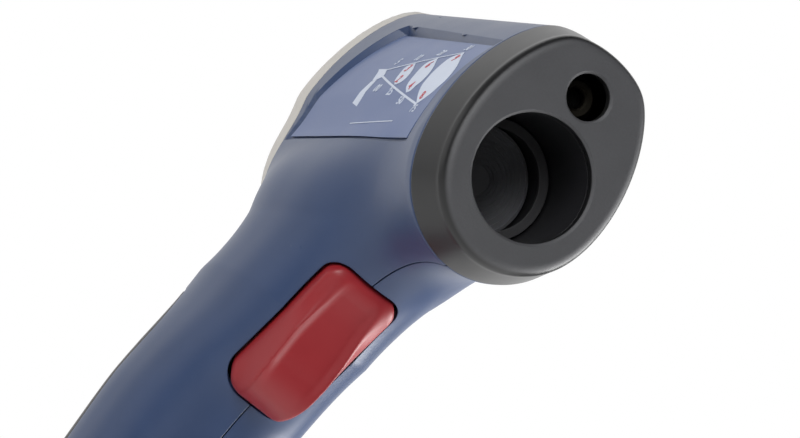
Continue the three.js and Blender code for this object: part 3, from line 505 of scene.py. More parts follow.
@dataclass(frozen=True)
class Metal:
    """Turned or stamped metal with fine drawn lines."""

    name: str
    colour: tuple[float, float, float]
    roughness: float = 0.28

    def material(self) -> bpy.types.Material:
        """Builds the finish.

        Returns:
            The material.
        """
        made, nodes = fresh(self.name)
        lines = nodes.noise(0.3, 2.0, (8, 1, 1))
        stain = nodes.noise(3.0, 3.0)
        base = nodes.blend(stain, tuple(c * 0.8 for c in self.colour), self.colour)
        bump = nodes.node("ShaderNodeBump", None, {"Distance": 0.004 * MM, "Height": lines}).outputs[0]
        rough = self.roughness + stain * 0.12
        sockets = {"Base Color": base, "Roughness": rough, "Metallic": 1.0, "Normal": bump}
        shader = nodes.node("ShaderNodeBsdfPrincipled", None, sockets).outputs[0]
        nodes.node("ShaderNodeOutputMaterial", None, {"Surface": shader})
        return made


@dataclass(frozen=True)
class ClearPlastic:
    """A polished transparent plastic with faint wiping marks."""

    name: str
    colour: tuple[float, float, float] = (0.9, 0.93, 0.95)

    def material(self) -> bpy.types.Material:
        """Builds the finish.

        Returns:
            The material.
        """
        made, nodes = fresh(self.name)
        marks = nodes.noise(5.0, 4.0, (1, 1, 3))
        see = nodes.node("ShaderNodeBsdfTransparent", None, {"Color": (*self.colour, 1.0)}).outputs[0]
        gloss_in = {"Base Color": (0.02, 0.02, 0.022, 1.0), "Roughness": 0.04 + marks * 0.08}
        gloss = nodes.node("ShaderNodeBsdfPrincipled", None, gloss_in).outputs[0]
        rim = nodes.number("ShaderNodeFresnel", None, {"IOR": 1.49})
        sockets = {0: rim * 0.9 + 0.05, 1: see, 2: gloss}
        mix = nodes.node("ShaderNodeMixShader", None, sockets).outputs[0]
        nodes.node("ShaderNodeOutputMaterial", None, {"Surface": mix})
        return made


# ---- The housing's outer surface ----------------------------------------------------------------


def smooth_max(a: np.ndarray, b: np.ndarray, radius: float) -> np.ndarray:
    """The larger of two distances, rounded where they meet."""
    h = np.clip(0.5 + 0.5 * (a - b) / radius, 0, 1)
    return b * (1 - h) + a * h + 0.5 * radius * h * (1 - h)


@dataclass
class Skin:
    """The housing's surface as a distance field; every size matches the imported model."""

    sensor_z: float
    nose_y: float
    fascia_y: float
    width: float = 43.0
    egg: tuple = (25.4, 5.98, 3.39, 0.24, -0.51, -0.28)  # cosine series of the egg's reach
    directions: int = 72  # in which the egg's reach is worked out
    crown_rise: float = 11.3  # in 100 mm of length
    head_taper: float = 0.011  # share in 100 mm of length
    fascia_round: float = 7.7
    neck_blend: float = 19.0
    collar_drop: float = 10.0
    collar_round: float = 12.0
    section_power: float = 2.7
    section_taper: float = 0.16
    cap_length: float = 13.1
    front_ease: float = 0.35  # rounding at the cap's seam
    widest: int = 170  # reach in which the surface is looked for
    sections: tuple = (  # drop below the sensor axis, front, back, half width
        (101.5, -19, 19, 17.8),
        (85, -24.5, 15.5, 18.9),
        (69, -29, 12.2, 19.8),
        (60, -32.4, 11, 19.5),
        (45, -43, 9.2, 18.8),
        (29, -53.4, 3.5, 20),
        (15, -59, -1.5, 20.8),
        (-5, -63, -2.5, 21),
    )
    seam_y: float = field(init=False)
    pivot: tuple = field(init=False)

    def __post_init__(self) -> None:
        """Works out the places that follow from the sizes."""
        self.seam_y = self.nose_y + self.cap_length
        self.pivot = (self.nose_y + 30, self.sensor_z - 42)
        turn = np.arange(self.directions) / self.directions * 2 * math.pi
        self._sides = (np.sin(turn), np.cos(turn), self.support(turn))
        self._low = -float(self.support(math.pi))
        self._tall = float(self.support(0.0) + self.support(math.pi))
        self._knots = np.array([(self.sensor_z - d, f, b, h) for d, f, b, h in self.sections])

    def support(self, turn: np.ndarray | float) -> np.ndarray:
        """The egg's reach from the sensor axis in a direction."""
        return sum(a * np.cos(k * np.asarray(turn)) for k, a in enumerate(self.egg))

    def ring(self, y: float, scale: float = 1.0, inset: float = 0.0, count: int = 180) -> np.ndarray:
        """Points round the egg.

        Args:
            y: Place along.
            scale: Scale about the sensor axis.
            inset: How far it is shrunk after that.
            count: Number of points.

        Returns:
            The points.
        """
        t = -np.arange(count) / count * 2 * math.pi
        h = self.support(t) * scale - inset
        turn = sum(-k * a * np.sin(k * t) for k, a in enumerate(self.egg)) * scale
        x = h * np.sin(t) + turn * np.cos(t)
        z = self.sensor_z + h * np.cos(t) - turn * np.sin(t)
        return np.column_stack([x, np.full(count, y), z])

    def section(self, column: int, z: np.ndarray) -> np.ndarray:
        """One value of the handle's sections, on a smooth curve through them.

        Args:
            column: 1 for the front, 2 for the back, 3 for the half width.
            z: Heights.

        Returns:
            The values.
        """
        knots = self._knots
        last = len(knots) - 1
        at = np.clip(np.searchsorted(knots[:, 0], z, side="right") - 1, 0, last - 1)
        rows = np.arange(last + 1)
        before, after = knots[np.maximum(rows - 1, 0)], knots[np.minimum(rows + 1, last)]
        slopes = (after[:, column] - before[:, column]) / (after[:, 0] - before[:, 0])
        span = knots[at + 1, 0] - knots[at, 0]
        t = np.clip((z - knots[at, 0]) / span, 0, 1)
        low, high = knots[at, column], knots[at + 1, column]
        ease = slopes[at] * t * (1 - t) ** 2 - slopes[at + 1] * t * t * (1 - t)
        return low + (high - low) * (3 * t * t - 2 * t**3) + span * ease

    def distance(self, x: np.ndarray, y: np.ndarray, z: np.ndarray) -> np.ndarray:
        """Signed distance to the surface, negative inside.

        Args:
            x: Places across.
            y: Places along.
            z: Heights.

        Returns:
            The distances, in the shape that the three share.
        """
        x, y, z = np.broadcast_arrays(x, y, z)
        back = np.clip(y - self.seam_y, -5, 130) / 100
        across = x / (1 - self.head_taper * back)
        up = self._low + (z - self.sensor_z - self._low) / (1 + self.crown_rise * back / self._tall)
        s, c, h = self._sides
        reach = across[..., None] * s + up[..., None] * c - h
        best = reach.argmax(-1)[..., None]
        middle, lower, upper = (
            np.take_along_axis(reach, (best + k) % len(s), -1)[..., 0] for k in (0, -1, 1)
        )
        bend = np.maximum(2 * middle - lower - upper, 1e-9)
        side = middle + (upper - lower) ** 2 / (8 * bend)
        head = smooth_max(side, y - self.fascia_y, self.fascia_round)
        front, rear = self.section(1, z), self.section(2, z)
        half_depth = (rear - front) / 2
        along = (y - (front + rear) / 2) / half_depth
        half = self.section(3, z)
        width = half * (1 + self.section_taper * np.clip(along, -1.2, 1.2))
        p = self.section_power
        around = (np.abs(along) ** p + np.abs(x / width) ** p) ** (1 / p)
        column = (around - 1) * np.minimum(half_depth, half) * 0.95
        handle = smooth_max(column, z - (self.sensor_z - self.collar_drop), self.collar_round)
        return -smooth_max(-head, -handle, self.neck_blend)

    def rows(self, level: float, floor: float, front: float, counts: tuple, ease: float) -> tuple:
        """Origins, rays and levels of the fan of planes that the surface is sampled in.

        Args:
            level: Distance of the wanted surface from the skin.
            floor: Lowest height.
            front: Place along Y of the foremost plane.
            counts: Rows in the grip, in the turn and in the head.
            ease: Rounding of the lowest and of the foremost edge.

        Returns:
            Arrays of origins (y, z), rays (y, z) and levels.
        """
        py, pz = self.pivot
        grip, turn, head = counts
        heights = floor + (pz - floor) * (np.arange(grip) / grip)
        angles = np.arange(turn) / turn * math.pi / 2
        places = py + (front - py) * np.arange(head + 1) / head
        if ease:
            arc = floor + ease * (1 - np.cos(np.arange(7) / 6 * math.pi / 2))
            heights = np.concatenate([arc, heights[heights > floor + ease * 1.3]])
            arc = front + self.front_ease * (1 - np.cos(np.arange(5)[::-1] / 4 * math.pi / 2))
            places = np.concatenate([places[places > front + self.front_ease + 0.1], arc])
        origins = np.concatenate([
            np.column_stack([np.full(len(heights), py), heights]),
            np.tile([py, pz], (turn, 1)),
            np.column_stack([places, np.full(len(places), pz)]),
        ])
        rays = np.concatenate([
            np.tile([1.0, 0.0], (len(heights), 1)),
            np.column_stack([np.cos(angles), np.sin(angles)]),
            np.tile([0.0, 1.0], (len(places), 1)),
        ])
        levels = np.full(len(origins), level)
        if ease:
            short = np.clip(1 - (heights - floor) / ease, 0, 1)
            levels[: len(heights)] -= ease * (1 - np.sqrt(1 - short**2))
            close = np.clip(1 - (places - front) / self.front_ease, 0, 1)
            levels[-len(places) :] -= self.front_ease * (1 - np.sqrt(1 - close**2))
        return origins, rays, levels

    def solid(
        self,
        level: float,
        floor: float = 0.0,
        front: float | None = None,
        columns: int = 176,
        counts: tuple = (64, 96, 22),
        ease: float = 0.0,
    ) -> Solid:
        """The surface at a level as a closed solid.

        Args:
            level: Distance from the skin.
            floor: Lowest height.
            front: Foremost place along Y, or none for the seam.
            columns: Points round each ring.
            counts: Rows in the grip, in the turn and in the head.
            ease: Rounding of the lowest and of the foremost edge.

        Returns:
            The solid.
        """
        foremost = self.seam_y if front is None else front
        origins, rays, levels = self.rows(level, floor, foremost, counts, ease)
        oy, oz, ry, rz = origins[:, :1], origins[:, 1:], rays[:, :1], rays[:, 1:]

        def at(x: np.ndarray, r: np.ndarray) -> np.ndarray:
            """Distance to the wanted surface at a place across and along each ray."""
            return self.distance(x, oy + ry * r, oz + rz * r) - levels[:, None]

        steps = np.arange(self.widest + 1.0)[None, :]
        inside = at(np.zeros_like(steps), steps) < 0
        near = inside.argmax(1)[:, None].astype(float)
        far = (self.widest - inside[:, ::-1].argmax(1))[:, None].astype(float)
        nothing = np.zeros_like(near)

        def crossing(out: np.ndarray, within: np.ndarray) -> np.ndarray:
            """Narrows down where the middle plane's line crosses the surface.

            Args:
                out: Points outside.
                within: Points inside.

            Returns:
                The crossings.
            """
            for _ in range(20):
                middle = (out + within) / 2
                hit = at(nothing, middle) < 0
                within, out = np.where(hit, middle, within), np.where(hit, out, middle)
            return (out + within) / 2

        inner = np.where(near > 0, crossing(near - 1, near), 0.0)
        outer = crossing(far + 1, far)
        centre, half = (inner + outer) / 2, (outer - inner) / 2
        t = -np.arange(columns) / columns * 2 * math.pi
        dx, dr = np.sin(t)[None, :] * self.width / 2, np.cos(t)[None, :] * half
        low, high = np.zeros((len(origins), columns)), np.full((len(origins), columns), 2.0)
        for _ in range(18):
            middle = (low + high) / 2
            hit = at(dx * middle, centre + dr * middle) < 0
            low, high = np.where(hit, middle, low), np.where(hit, high, middle)
        r = centre + dr * low
        return loft(np.stack([dx * low, oy + ry * r, oz + rz * r], -1))

    def left_side(self, y: np.ndarray, z: np.ndarray, level: np.ndarray) -> np.ndarray:
        """The x of the -X side, found from outside.

        Args:
            y: Places along.
            z: Heights.
            level: Distance from the skin.

        Returns:
            The places across.
        """
        shape = np.broadcast(y, z, level).shape
        out, within = np.full(shape, -self.width), np.full(shape, -2.0)
        for _ in range(24):
            middle = (out + within) / 2
            away = self.distance(middle, y, z) > level
            out, within = np.where(away, middle, out), np.where(away, within, middle)
        return out


# ---- Dressing -----------------------------------------------------------------------------------


class Slot(Enum):
    """Material slots of the record, named when each new piece is made."""

    HOUSING = "housing"
    NOSE = "nose_rubber"
    TUNNEL = "tunnel_plastic"
    LENS = "lens_plastic"
    STEEL = "steel"
    LASER = "brass"
    CLEAR = "clear_plastic"
    FASCIA = "fascia"
    KEY = "key_rubber"
    COVER = "cover"
    TRIGGER = "trigger_plastic"
    LABEL = "label"


@dataclass
class Workshop:
    """Turns solids into dressed pieces that ride on their bodies."""

    finishes: dict[str, bpy.types.Material]
    bodies: dict[str, str]

    def piece(
        self,
        name: str,
        solid: Solid,
        finish: str,
        slot: Slot,
        node: str,
        replaces: bool = True,
        sharp: float = 32.0,
    ) -> None:
        """Makes a piece.

        Args:
            name: Its name.
            solid: Its shape.
            finish: Name of its finish.
            slot: The record's slot; not used.
            node: The CAD node whose body it rides on.
            replaces: Whether it stands for that node.
            sharp: Angle in degrees over which an edge stays sharp.
        """
        mesh = solid.mesh
        mesh.name = name
        mesh.polygons.foreach_set("use_smooth", [True] * len(mesh.polygons))
        mesh.set_sharp_from_angle(angle=math.radians(sharp))
        mesh.materials.clear()
        mesh.materials.append(self.finishes[finish])
        made = bpy.data.objects.new(name, mesh)
        bpy.context.scene.collection.objects.link(made)
        normals = made.modifiers.new("normals", "WEIGHTED_NORMAL")
        normals.keep_sharp = True
        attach(made, self.bodies[node])
        if replaces:
            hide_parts(node)
        log.info("%s: %d faces", name, len(mesh.polygons))

    def dress(self, node: str, finish: str) -> None:
        """Gives a CAD node a finish.

        Args:
            node: The node.
            finish: Name of its finish.
        """
        mesh = frame["nodes"][node].data
        mesh.materials.clear()
        mesh.materials.append(self.finishes[finish])


# ---- Housing ------------------------------------------------------------------------------------


@dataclass
class Recess:
    """The sunk panel on the -X side; corners are [y, rise over the sensor axis]."""

    skin: Skin
    rear: tuple = ((-2.5, -2.5), (-15.0, 30.5))
    front: tuple = ((-77.0, -4.9), (-84.3, 21.3))
    deep: float = 2.0
    shallow: float = 0.5
    fade: float = 0.65
    slant: float = 2.2
    step: float = 0.6
    backing: float = 1.8
    border: float = 2.5
    brim: float = 0.4
    fineness: int = 21

    def place(self, s: np.ndarray, t: np.ndarray, level: np.ndarray | float) -> np.ndarray:
        """Points over the recess.

        Args:
            s: Shares from rear to front.
            t: Shares from bottom to top.
            level: Distance from the skin.

        Returns:
            Points in millimetres, in a last axis of three.
        """
        s, t, level = np.broadcast_arrays(*(np.asarray(part, float) for part in (s, t, level)))
        y, up = (
            (self.rear[0][k] + (self.rear[1][k] - self.rear[0][k]) * t) * (1 - s)
            + (self.front[0][k] + (self.front[1][k] - self.front[0][k]) * t) * s
            for k in (0, 1)
        )
        z = self.skin.sensor_z + up
        return np.stack([self.skin.left_side(y, z, level), y, z], -1)

    def depth(self, s: np.ndarray, t: np.ndarray) -> np.ndarray:
        """How far the floor lies under the skin."""
        extra = (self.deep - self.shallow) * np.clip(t, 0, 1)
        return self.shallow + extra * (1 - self.fade * np.clip(s, 0, 1))

    def on_floor(self, s: np.ndarray, t: np.ndarray, lift: float) -> np.ndarray:
        """Points over the floor by a lift."""
        return self.place(s, t, lift - self.depth(s, t))

    def solid(self, sunk: float, out: float) -> Solid:
        """The recess from its floor outwards.

        Args:
            sunk: Extra depth.
            out: Extra reach of every side.

        Returns:
            The solid.
        """
        height = self.rear[1][1] - self.rear[0][1]
        length = self.rear[0][0] - self.front[0][0]
        grid = np.linspace(0, 1, self.fineness)
        floor_t = grid * (1 + 2 * out / height) - out / height
        across = grid * (1 + 2 * out / length) - out / length
        stations = [(-(self.step + out) / height, False)]
        stations += [(t, True) for t in floor_t]
        stations += [(1 + (self.slant + out) / height, False)]
        rings = []
        for t, is_floor in stations:
            level = -self.depth(across, t) if is_floor else self.brim
            middle = self.place(across, t, level - sunk)
            rear = self.place(-(self.slant + out) / length, t, self.brim - sunk)
            front = self.place(1 + (self.step + out) / length, t, self.brim - sunk)
            far = [[-self.skin.width, end[1], end[2]] for end in (front, rear)]
            rings.append(np.vstack([rear, middle, front, far]))
        return loft(np.stack(rings))


@dataclass
class TriggerShape:
    """The trigger's outline in its own leaning frame: a across, b up along it, d outwards."""

    skin: Skin
    width: float = 18.4
    length: float = 37.6
    drop: float = 44.6
    lean: float = 34.3
    top_corner: float = 4.2
    bottom_corner: float = 5.4

    def __post_init__(self) -> None:
        """Works out the frame."""
        turn = math.radians(self.lean)
        z = self.skin.sensor_z - self.drop
        self.centre = np.array([0.0, float(self.skin.section(1, np.array(z))), z])
        self.up = np.array([0.0, -math.sin(turn), math.cos(turn)])
        self.out = np.array([0.0, -math.cos(turn), -math.sin(turn)])

    def place(self, a: float, b: float, d: float) -> np.ndarray:
        """A point of the frame in millimetres."""
        return self.centre + np.array([a, 0, 0]) + self.up * b + self.out * d

    def outline(self, grow: float = 0.0, steps: int = 10) -> list[Point]:
        """The outline, grown all round.

        Args:
            grow: How far it grows.
            steps: Points in each corner.

        Returns:
            Its corners in order.
        """
        wide, tall = self.width + 2 * grow, self.length + 2 * grow
        return rounded_rectangle(wide, tall, self.top_corner + grow, self.bottom_corner + grow, steps)


@dataclass
class Housing:
    """The two moulded halves of the head and handle, with the openings cut in them."""

    skin: Skin
    recess: Recess
    trigger: TriggerShape
    wall: float = 2.2
    split: float = 0.3
    base_ease: float = 0.8
    fascia_thickness: float = 9.0
    fascia_bottom: float = -17.0
    cover_bottom: float = 3.0
    cover_reach: float = 57.4
    cover_depth: float = 12.6
    cover_bulge: float = 1.6
    cover_gap: float = 0.4
    nail: float = 1.3
    screw_seat: float = 6.0
    screw_hole: float = 1.6
    screw_well: float = 2.7  # radius of the hole over the head
    post: float = 3.1
    well_post: float = 4.1
    pilot: float = 7.5
    trigger_gap: float = 0.8
    pin: tuple = (13.6, 11.5, 1.0, 11.6)  # along, depth, radius, half length
    pin_post: float = 2.7
    panel: tuple = (9.0, 11.0)  # half width and half length of the panel in the base
    screws: tuple = (
        ("screw_base", -13.2, 9.2),
        ("screw_grip", -21.4, 34.0),
        ("screw_neck", -27.5, 78.0),
        ("screw_crown_front", -58.0, 130.5),
        ("screw_crown_rear", -21.0, 135.5),
    )

    def back_line(self, z: float) -> float:
        """Place of the handle's back at a height."""
        return float(self.skin.section(2, np.array(z)))

    def fascia_block(self, grow: float) -> Solid:
        """The space of the rear fascia.

        Args:
            grow: How far it grows.

        Returns:
            The space.
        """
        front = self.skin.fascia_y - self.fascia_thickness - grow
        low = self.skin.sensor_z + self.fascia_bottom - grow
        return block((-40, front, low), (40, self.skin.fascia_y + 30, low + 90))

    def cover_region(self, gap: float, above: float) -> Solid:
        """The space of the battery cover in side view, extruded across.

        Args:
            gap: Gap at its front edge and below it.
            above: Extra reach at its top.

        Returns:
            The solid.
        """
        hinge = (self.back_line(self.cover_bottom), self.cover_bottom)
        reach = self.cover_reach + above

        def crest(y: float) -> float:
            """Height of the top edge, an arc about the hinge."""
            return hinge[1] + math.sqrt(reach**2 - (hinge[0] - y) ** 2)

        def edge(z: float) -> float:
            """Place of the front edge, which bows forward near the top.

            Args:
                z: Height.

            Returns:
                Its place along.
            """
            t = (z - self.cover_bottom) / self.cover_reach
            bow = self.cover_bulge * math.exp(-(((t - 0.78) / 0.14) ** 2))
            return self.back_line(z) - self.cover_depth - gap - bow

        low, behind = self.cover_bottom - gap, hinge[0] + 12
        high = crest(edge(crest(edge(self.cover_reach))))
        rise = np.linspace(low, high, 49)
        top = np.linspace(edge(high), behind, 25)[1:]
        outline = [(edge(z), z) for z in rise] + [(y, crest(y)) for y in top] + [(behind, low)]
        return prism(outline, lambda a, b, d: (d, a, b), -45, 45)

    def half_space(self, side: int) -> Solid:
        """Everything on one side of the split."""
        low, high = sorted((side * self.split / 2, side * 200.0))
        return block((low, -200, -200), (high, 200, 300))

    def pin_seat(self, half: Solid, side: int, outer: Solid) -> Solid:
        """Adds the post that holds one end of the trigger's pin.

        Args:
            half: The half of the housing.
            side: -1 for the -X side, 1 for the +X side.
            outer: The outer skin.

        Returns:
            The half with its post.
        """
        along, depth, radius, reach = self.pin
        at = self.trigger.place(0, along, -depth)
        low, high = sorted((side * (reach - 1.3), side * 45.0))
        post = rod(self.pin_post, low, high, (at[1], at[2]), 48) & outer
        a, b = sorted((0.0, side * (reach + FIT)))
        return half + post - rod(radius + FIT, a, b, (at[1], at[2]), 40)

    def build(self, shop: Workshop) -> tuple[Solid, Solid]:
        """Makes both halves.

        Args:
            shop: The workshop.

        Returns:
            The outer skin and the cavity, for the pieces that follow them.
        """
        outer = self.skin.solid(-0.03, ease=self.base_ease)
        cavity = self.skin.solid(-self.wall, self.wall, self.skin.seam_y - 4, 96, (28, 44, 10))
        seam = self.skin.seam_y
        egg = [self.skin.ring(y, inset=self.wall) for y in (seam - 4, seam + 3.5 + FIT)]
        opening = self.trigger.outline(self.trigger_gap)
        shell = outer - (cavity - self.recess.solid(self.recess.backing, self.recess.border))
        shell = shell - self.recess.solid(0, 0) - self.fascia_block(self.split)
        shell = shell - self.cover_region(self.cover_gap, self.nail) - loft(np.stack(egg))
        shell = shell - prism(opening, self.trigger.place, -11, 14)
        left, right = shell & self.half_space(-1), shell & self.half_space(1)
        face, seat, far = self.split / 2, self.screw_seat - FIT, 45
        narrow, well = self.screw_hole, self.screw_well
        hole = [(0, -1), (narrow, -1), (narrow, seat), (well, seat), (well, far), (0, far)]
        for _, y, z in self.screws:
            left = left + (rod(self.post, -far, -face, (y, z), 48) & outer)
            left = left - rod(narrow, -self.pilot, 1, (y, z), 32)
            right = right + (rod(self.well_post, face, far, (y, z), 64) & outer)
            right = right - lathe(hole, (y, z), "x", 64)
        left, right = (self.pin_seat(half, side, outer) for half, side in ((left, -1), (right, 1)))
        x, y = self.panel
        panel = block((-x, -y, 0), (x, y, self.wall))
        x, y = x + FIT, y + FIT
        right = right - block((-x, -y, -1), (x, y, self.wall + FIT))
        shop.piece("shell_left", left + panel, "blue", Slot.HOUSING, "housing_left")
        shop.piece("shell_right", right, "blue", Slot.HOUSING, "housing_right")
        return outer, cavity


@dataclass
class Screw:
    """A cross-headed self-tapping screw driven from the +X side."""

    seat: float = 6.0
    head: float = 2.4
    rise: float = 1.8
    shank: float = 1.3
    length: float = 12.0
    threads: int = 12
    pitch: float = 0.8
    thread_depth: float = 0.3
    cross: tuple = (1.3, 0.3, 0.9)  # half length, half width and depth

    def build(self, shop: Workshop, node: str, y: float, z: float) -> None:
        """Makes a screw in its hole.

        Args:
            shop: The workshop.
            node: The CAD node it stands for.
            y: Place of its axis along.
            z: Height of its axis.
        """
        top, tip = self.seat + self.rise, self.seat - self.length
        core = self.shank - self.thread_depth
        profile = [(0, tip), (0.3, tip)]
        for k in range(self.threads):
            at = tip + 1.4 + k * self.pitch
            profile += [(core, at), (self.shank, at + 0.35), (core, at + 0.7)]
        profile += [(self.shank, self.seat), (self.head, self.seat), (self.head, top - 0.9)]
        profile += [(self.head * 0.8, top - 0.25), (0.8, top), (0, top)]
        body = lathe(profile, (y, z), "x", 40)
        long, slim, depth = self.cross
        for wide, tall in ((long, slim), (slim, long)):
            body = body - block((top - depth, y - wide, z - tall), (top + 1, y + wide, z + tall))
        shop.piece(f"{node}_driven", body, "steel", Slot.STEEL, node)


# ---- Nose ---------------------------------------------------------------------------------------


@dataclass
class Nose:
    """The cap over the front, with the sensor and laser openings."""

    skin: Skin
    flare: float = 1.085
    rim_depth: float = 3.2
    rim_inset: float = 2.6
    wall: float = 2.4
    collar: float = 3.5
    collar_wall: float = 1.3
    collar_inset: float = 2.5
    inset: float = 0.03
    bore: float = 13.3
    laser_bore: float = 4.88
    laser_rise: float = 20.6
    chamfer: float = 0.55

    def build(self, shop: Workshop) -> None:
        """Makes the cap.

        Args:
            shop: The workshop.
        """
        y, seam, ring = self.skin.nose_y, self.skin.seam_y - FIT, self.skin.ring
        small, count = 1 / self.flare, 200
        rings = [ring(seam, 0.997, 0.25, count), ring(seam - 0.2, 0.9985, 0, count)]
        for k in range(1, 12):
            t = k / 12
            at = seam - 0.2 + (y + self.rim_depth - seam + 0.2) * t
            rings.append(ring(at, 1 + (small - 1) * t, self.inset, count))
        for k in range(13):
            t = k / 12 * math.pi / 2
            drop = self.inset + self.rim_inset * (1 - math.cos(t))
            rings.append(ring(y + self.rim_depth * (1 - math.sin(t)), small, drop, count))
        collar = [ring(at, 1, self.collar_inset) for at in (seam - 3, seam + self.collar)]
        hollow = [
            ring(seam + self.collar + 1, 1, self.collar_inset + self.collar_wall),
            ring(y + self.wall, small, self.wall),
        ]
        cap = loft(np.stack(rings)) + loft(np.stack(collar)) - loft(np.stack(hollow))
        for radius, rise in ((self.bore, 0.0), (self.laser_bore, self.laser_rise)):
            mouth = [(0, y - 1), (radius + self.chamfer + 1, y - 1), (radius, y + self.chamfer)]
            mouth += [(radius, y + 9), (0, y + 9)]
            cap = cap - lathe(mouth, (0, self.skin.sensor_z + rise), segments=144)
        shop.piece("nose_cap_moulded", cap, "nose", Slot.NOSE, "nose_cap", sharp=28)


@dataclass
class Optics:
    """The tunnel, its ring and lens, and the laser behind the nose cap."""

    skin: Skin
    bore: float = 13.3
    ledge: float = 1.3
    lens_depth: float = 29.0
    lens_thickness: float = 1.6
    ring_depth: float = 21.0
    ring_thickness: float = 3.0
    front: float = 2.7
    chamber: float = 17.0
    wall: float = 1.6
    grooves: tuple = (0.26, 0.33, 0.4, 0.5, 0.58, 0.66, 0.74, 0.84, 0.94)
    groove_depth: float = 0.28
    laser_z: float = 122.1
    laser_depth: float = 6.5
    laser_radius: float = 4.0
    laser_length: float = 20.0
    glass_radius: float = 1.9

    def __post_init__(self) -> None:
        """Works out the radii that follow from the bore."""
        self.lens_radius = self.bore - self.ledge
        self.at = (0.0, self.skin.sensor_z)

    def deep(self, depth: float) -> float:
        """Place along Y of a depth behind the nose face."""
        return self.skin.nose_y + depth

    def tunnel(self) -> Solid:
        """The tube in front of the lens, its chamber behind and the clamp round the laser.

        Returns:
            The solid.
        """
        seat = self.lens_depth + self.lens_thickness + FIT
        outer, inner = self.bore + self.wall, self.lens_radius + FIT
        end, step = seat + self.chamber, self.ring_depth + self.ring_thickness
        profile = [(outer, self.front), (outer, seat), (inner, end), (self.lens_radius - 2, end)]
        profile += [(self.lens_radius - 1.4, seat), (inner, seat), (inner, step)]
        profile += [(self.bore, step), (self.bore, self.front)]
        tube_part = lathe([(r, self.deep(d)) for r, d in profile], self.at, segments=144)
        y0, y1 = self.deep(self.laser_depth + 4), self.deep(self.laser_depth + 12)
        hole = self.laser_radius + FIT
        band = [(hole, y0), (hole + 1.5, y0), (hole + 1.5, y1), (hole, y1)]
        clamp = lathe(band, (0, self.laser_z), segments=64)
        low = self.skin.sensor_z + outer - self.wall / 2
        web = block((-1.5, y0, low), (1.5, y1, self.laser_z - hole - 0.5))
        return tube_part + web + clamp

    def lens(self) -> Solid:
        """The grooved plastic lens.

        Returns:
            The solid.
        """
        front, radius = self.deep(self.lens_depth), self.lens_radius
        groove, back = front + self.groove_depth, front + self.lens_thickness
        profile = [(0, front)]
        for share in self.grooves:
            profile += [(share * radius, groove), (share * radius + 0.04, front)]
        profile += [(radius, groove), (radius, back), (0, back)]
        return lathe(profile, self.at, segments=144)

    def ring(self) -> Solid:
        """The ring that holds the lens.

        Returns:
            The solid.
        """
        front, back = self.ring_depth, self.ring_depth + self.ring_thickness - FIT
        outer, inner = self.bore - FIT, self.lens_radius - 0.4
        profile = [(outer, front), (outer, back), (inner, back), (inner - 0.8, front)]
        points = eased([(r, self.deep(d)) for r, d in profile], 0.25)
        return lathe(points, self.at, segments=144)

    def laser(self) -> tuple[Solid, Solid]:
        """The laser's turned barrel and its domed lens.

        Returns:
            Both solids.
        """
        front = self.deep(self.laser_depth)
        end, radius, stem = front + self.laser_length, self.laser_radius, self.laser_radius - 1.2
        barrel = [(0, front + 3), (2.2, front + 3), (2.2, front + 0.5), (2.6, front)]
        barrel += [(radius - 0.3, front), (radius, front + 0.3), (radius, end - 0.3)]
        barrel += [(radius - 0.3, end), (stem, end), (stem, end + 2.7)]
        barrel += [(stem - 0.3, end + 3), (0, end + 3)]
        wide, crown, back = self.glass_radius, front + 1, front + 2.2
        turn = np.linspace(0, math.pi / 2, 7)
        dome = [(wide * math.sin(t), crown + 0.5 * (1 - math.cos(t))) for t in turn]
        centre = (0, self.laser_z)
        glass = lathe([*dome, (wide, back), (0, back)], centre, segments=48)
        return lathe(barrel, centre, segments=72), glass

    def build(self, shop: Workshop) -> None:
        """Makes the pieces.

        Args:
            shop: The workshop.
        """
        shop.piece("tunnel_moulded", self.tunnel(), "tunnel", Slot.TUNNEL, "sensor_tunnel")
        shop.piece("lens_ring_moulded", self.ring(), "ring", Slot.TUNNEL, "lens_ring")
        shop.piece("lens_moulded", self.lens(), "lens", Slot.LENS, "fresnel_lens", sharp=20)
        barrel, glass = self.laser()
        shop.piece("laser_turned", barrel, "dark_brass", Slot.LASER, "laser_barrel")
        shop.piece("laser_lens_moulded", glass, "clear", Slot.CLEAR, "laser_lens")


# ---- Rear ---------------------------------------------------------------------------------------


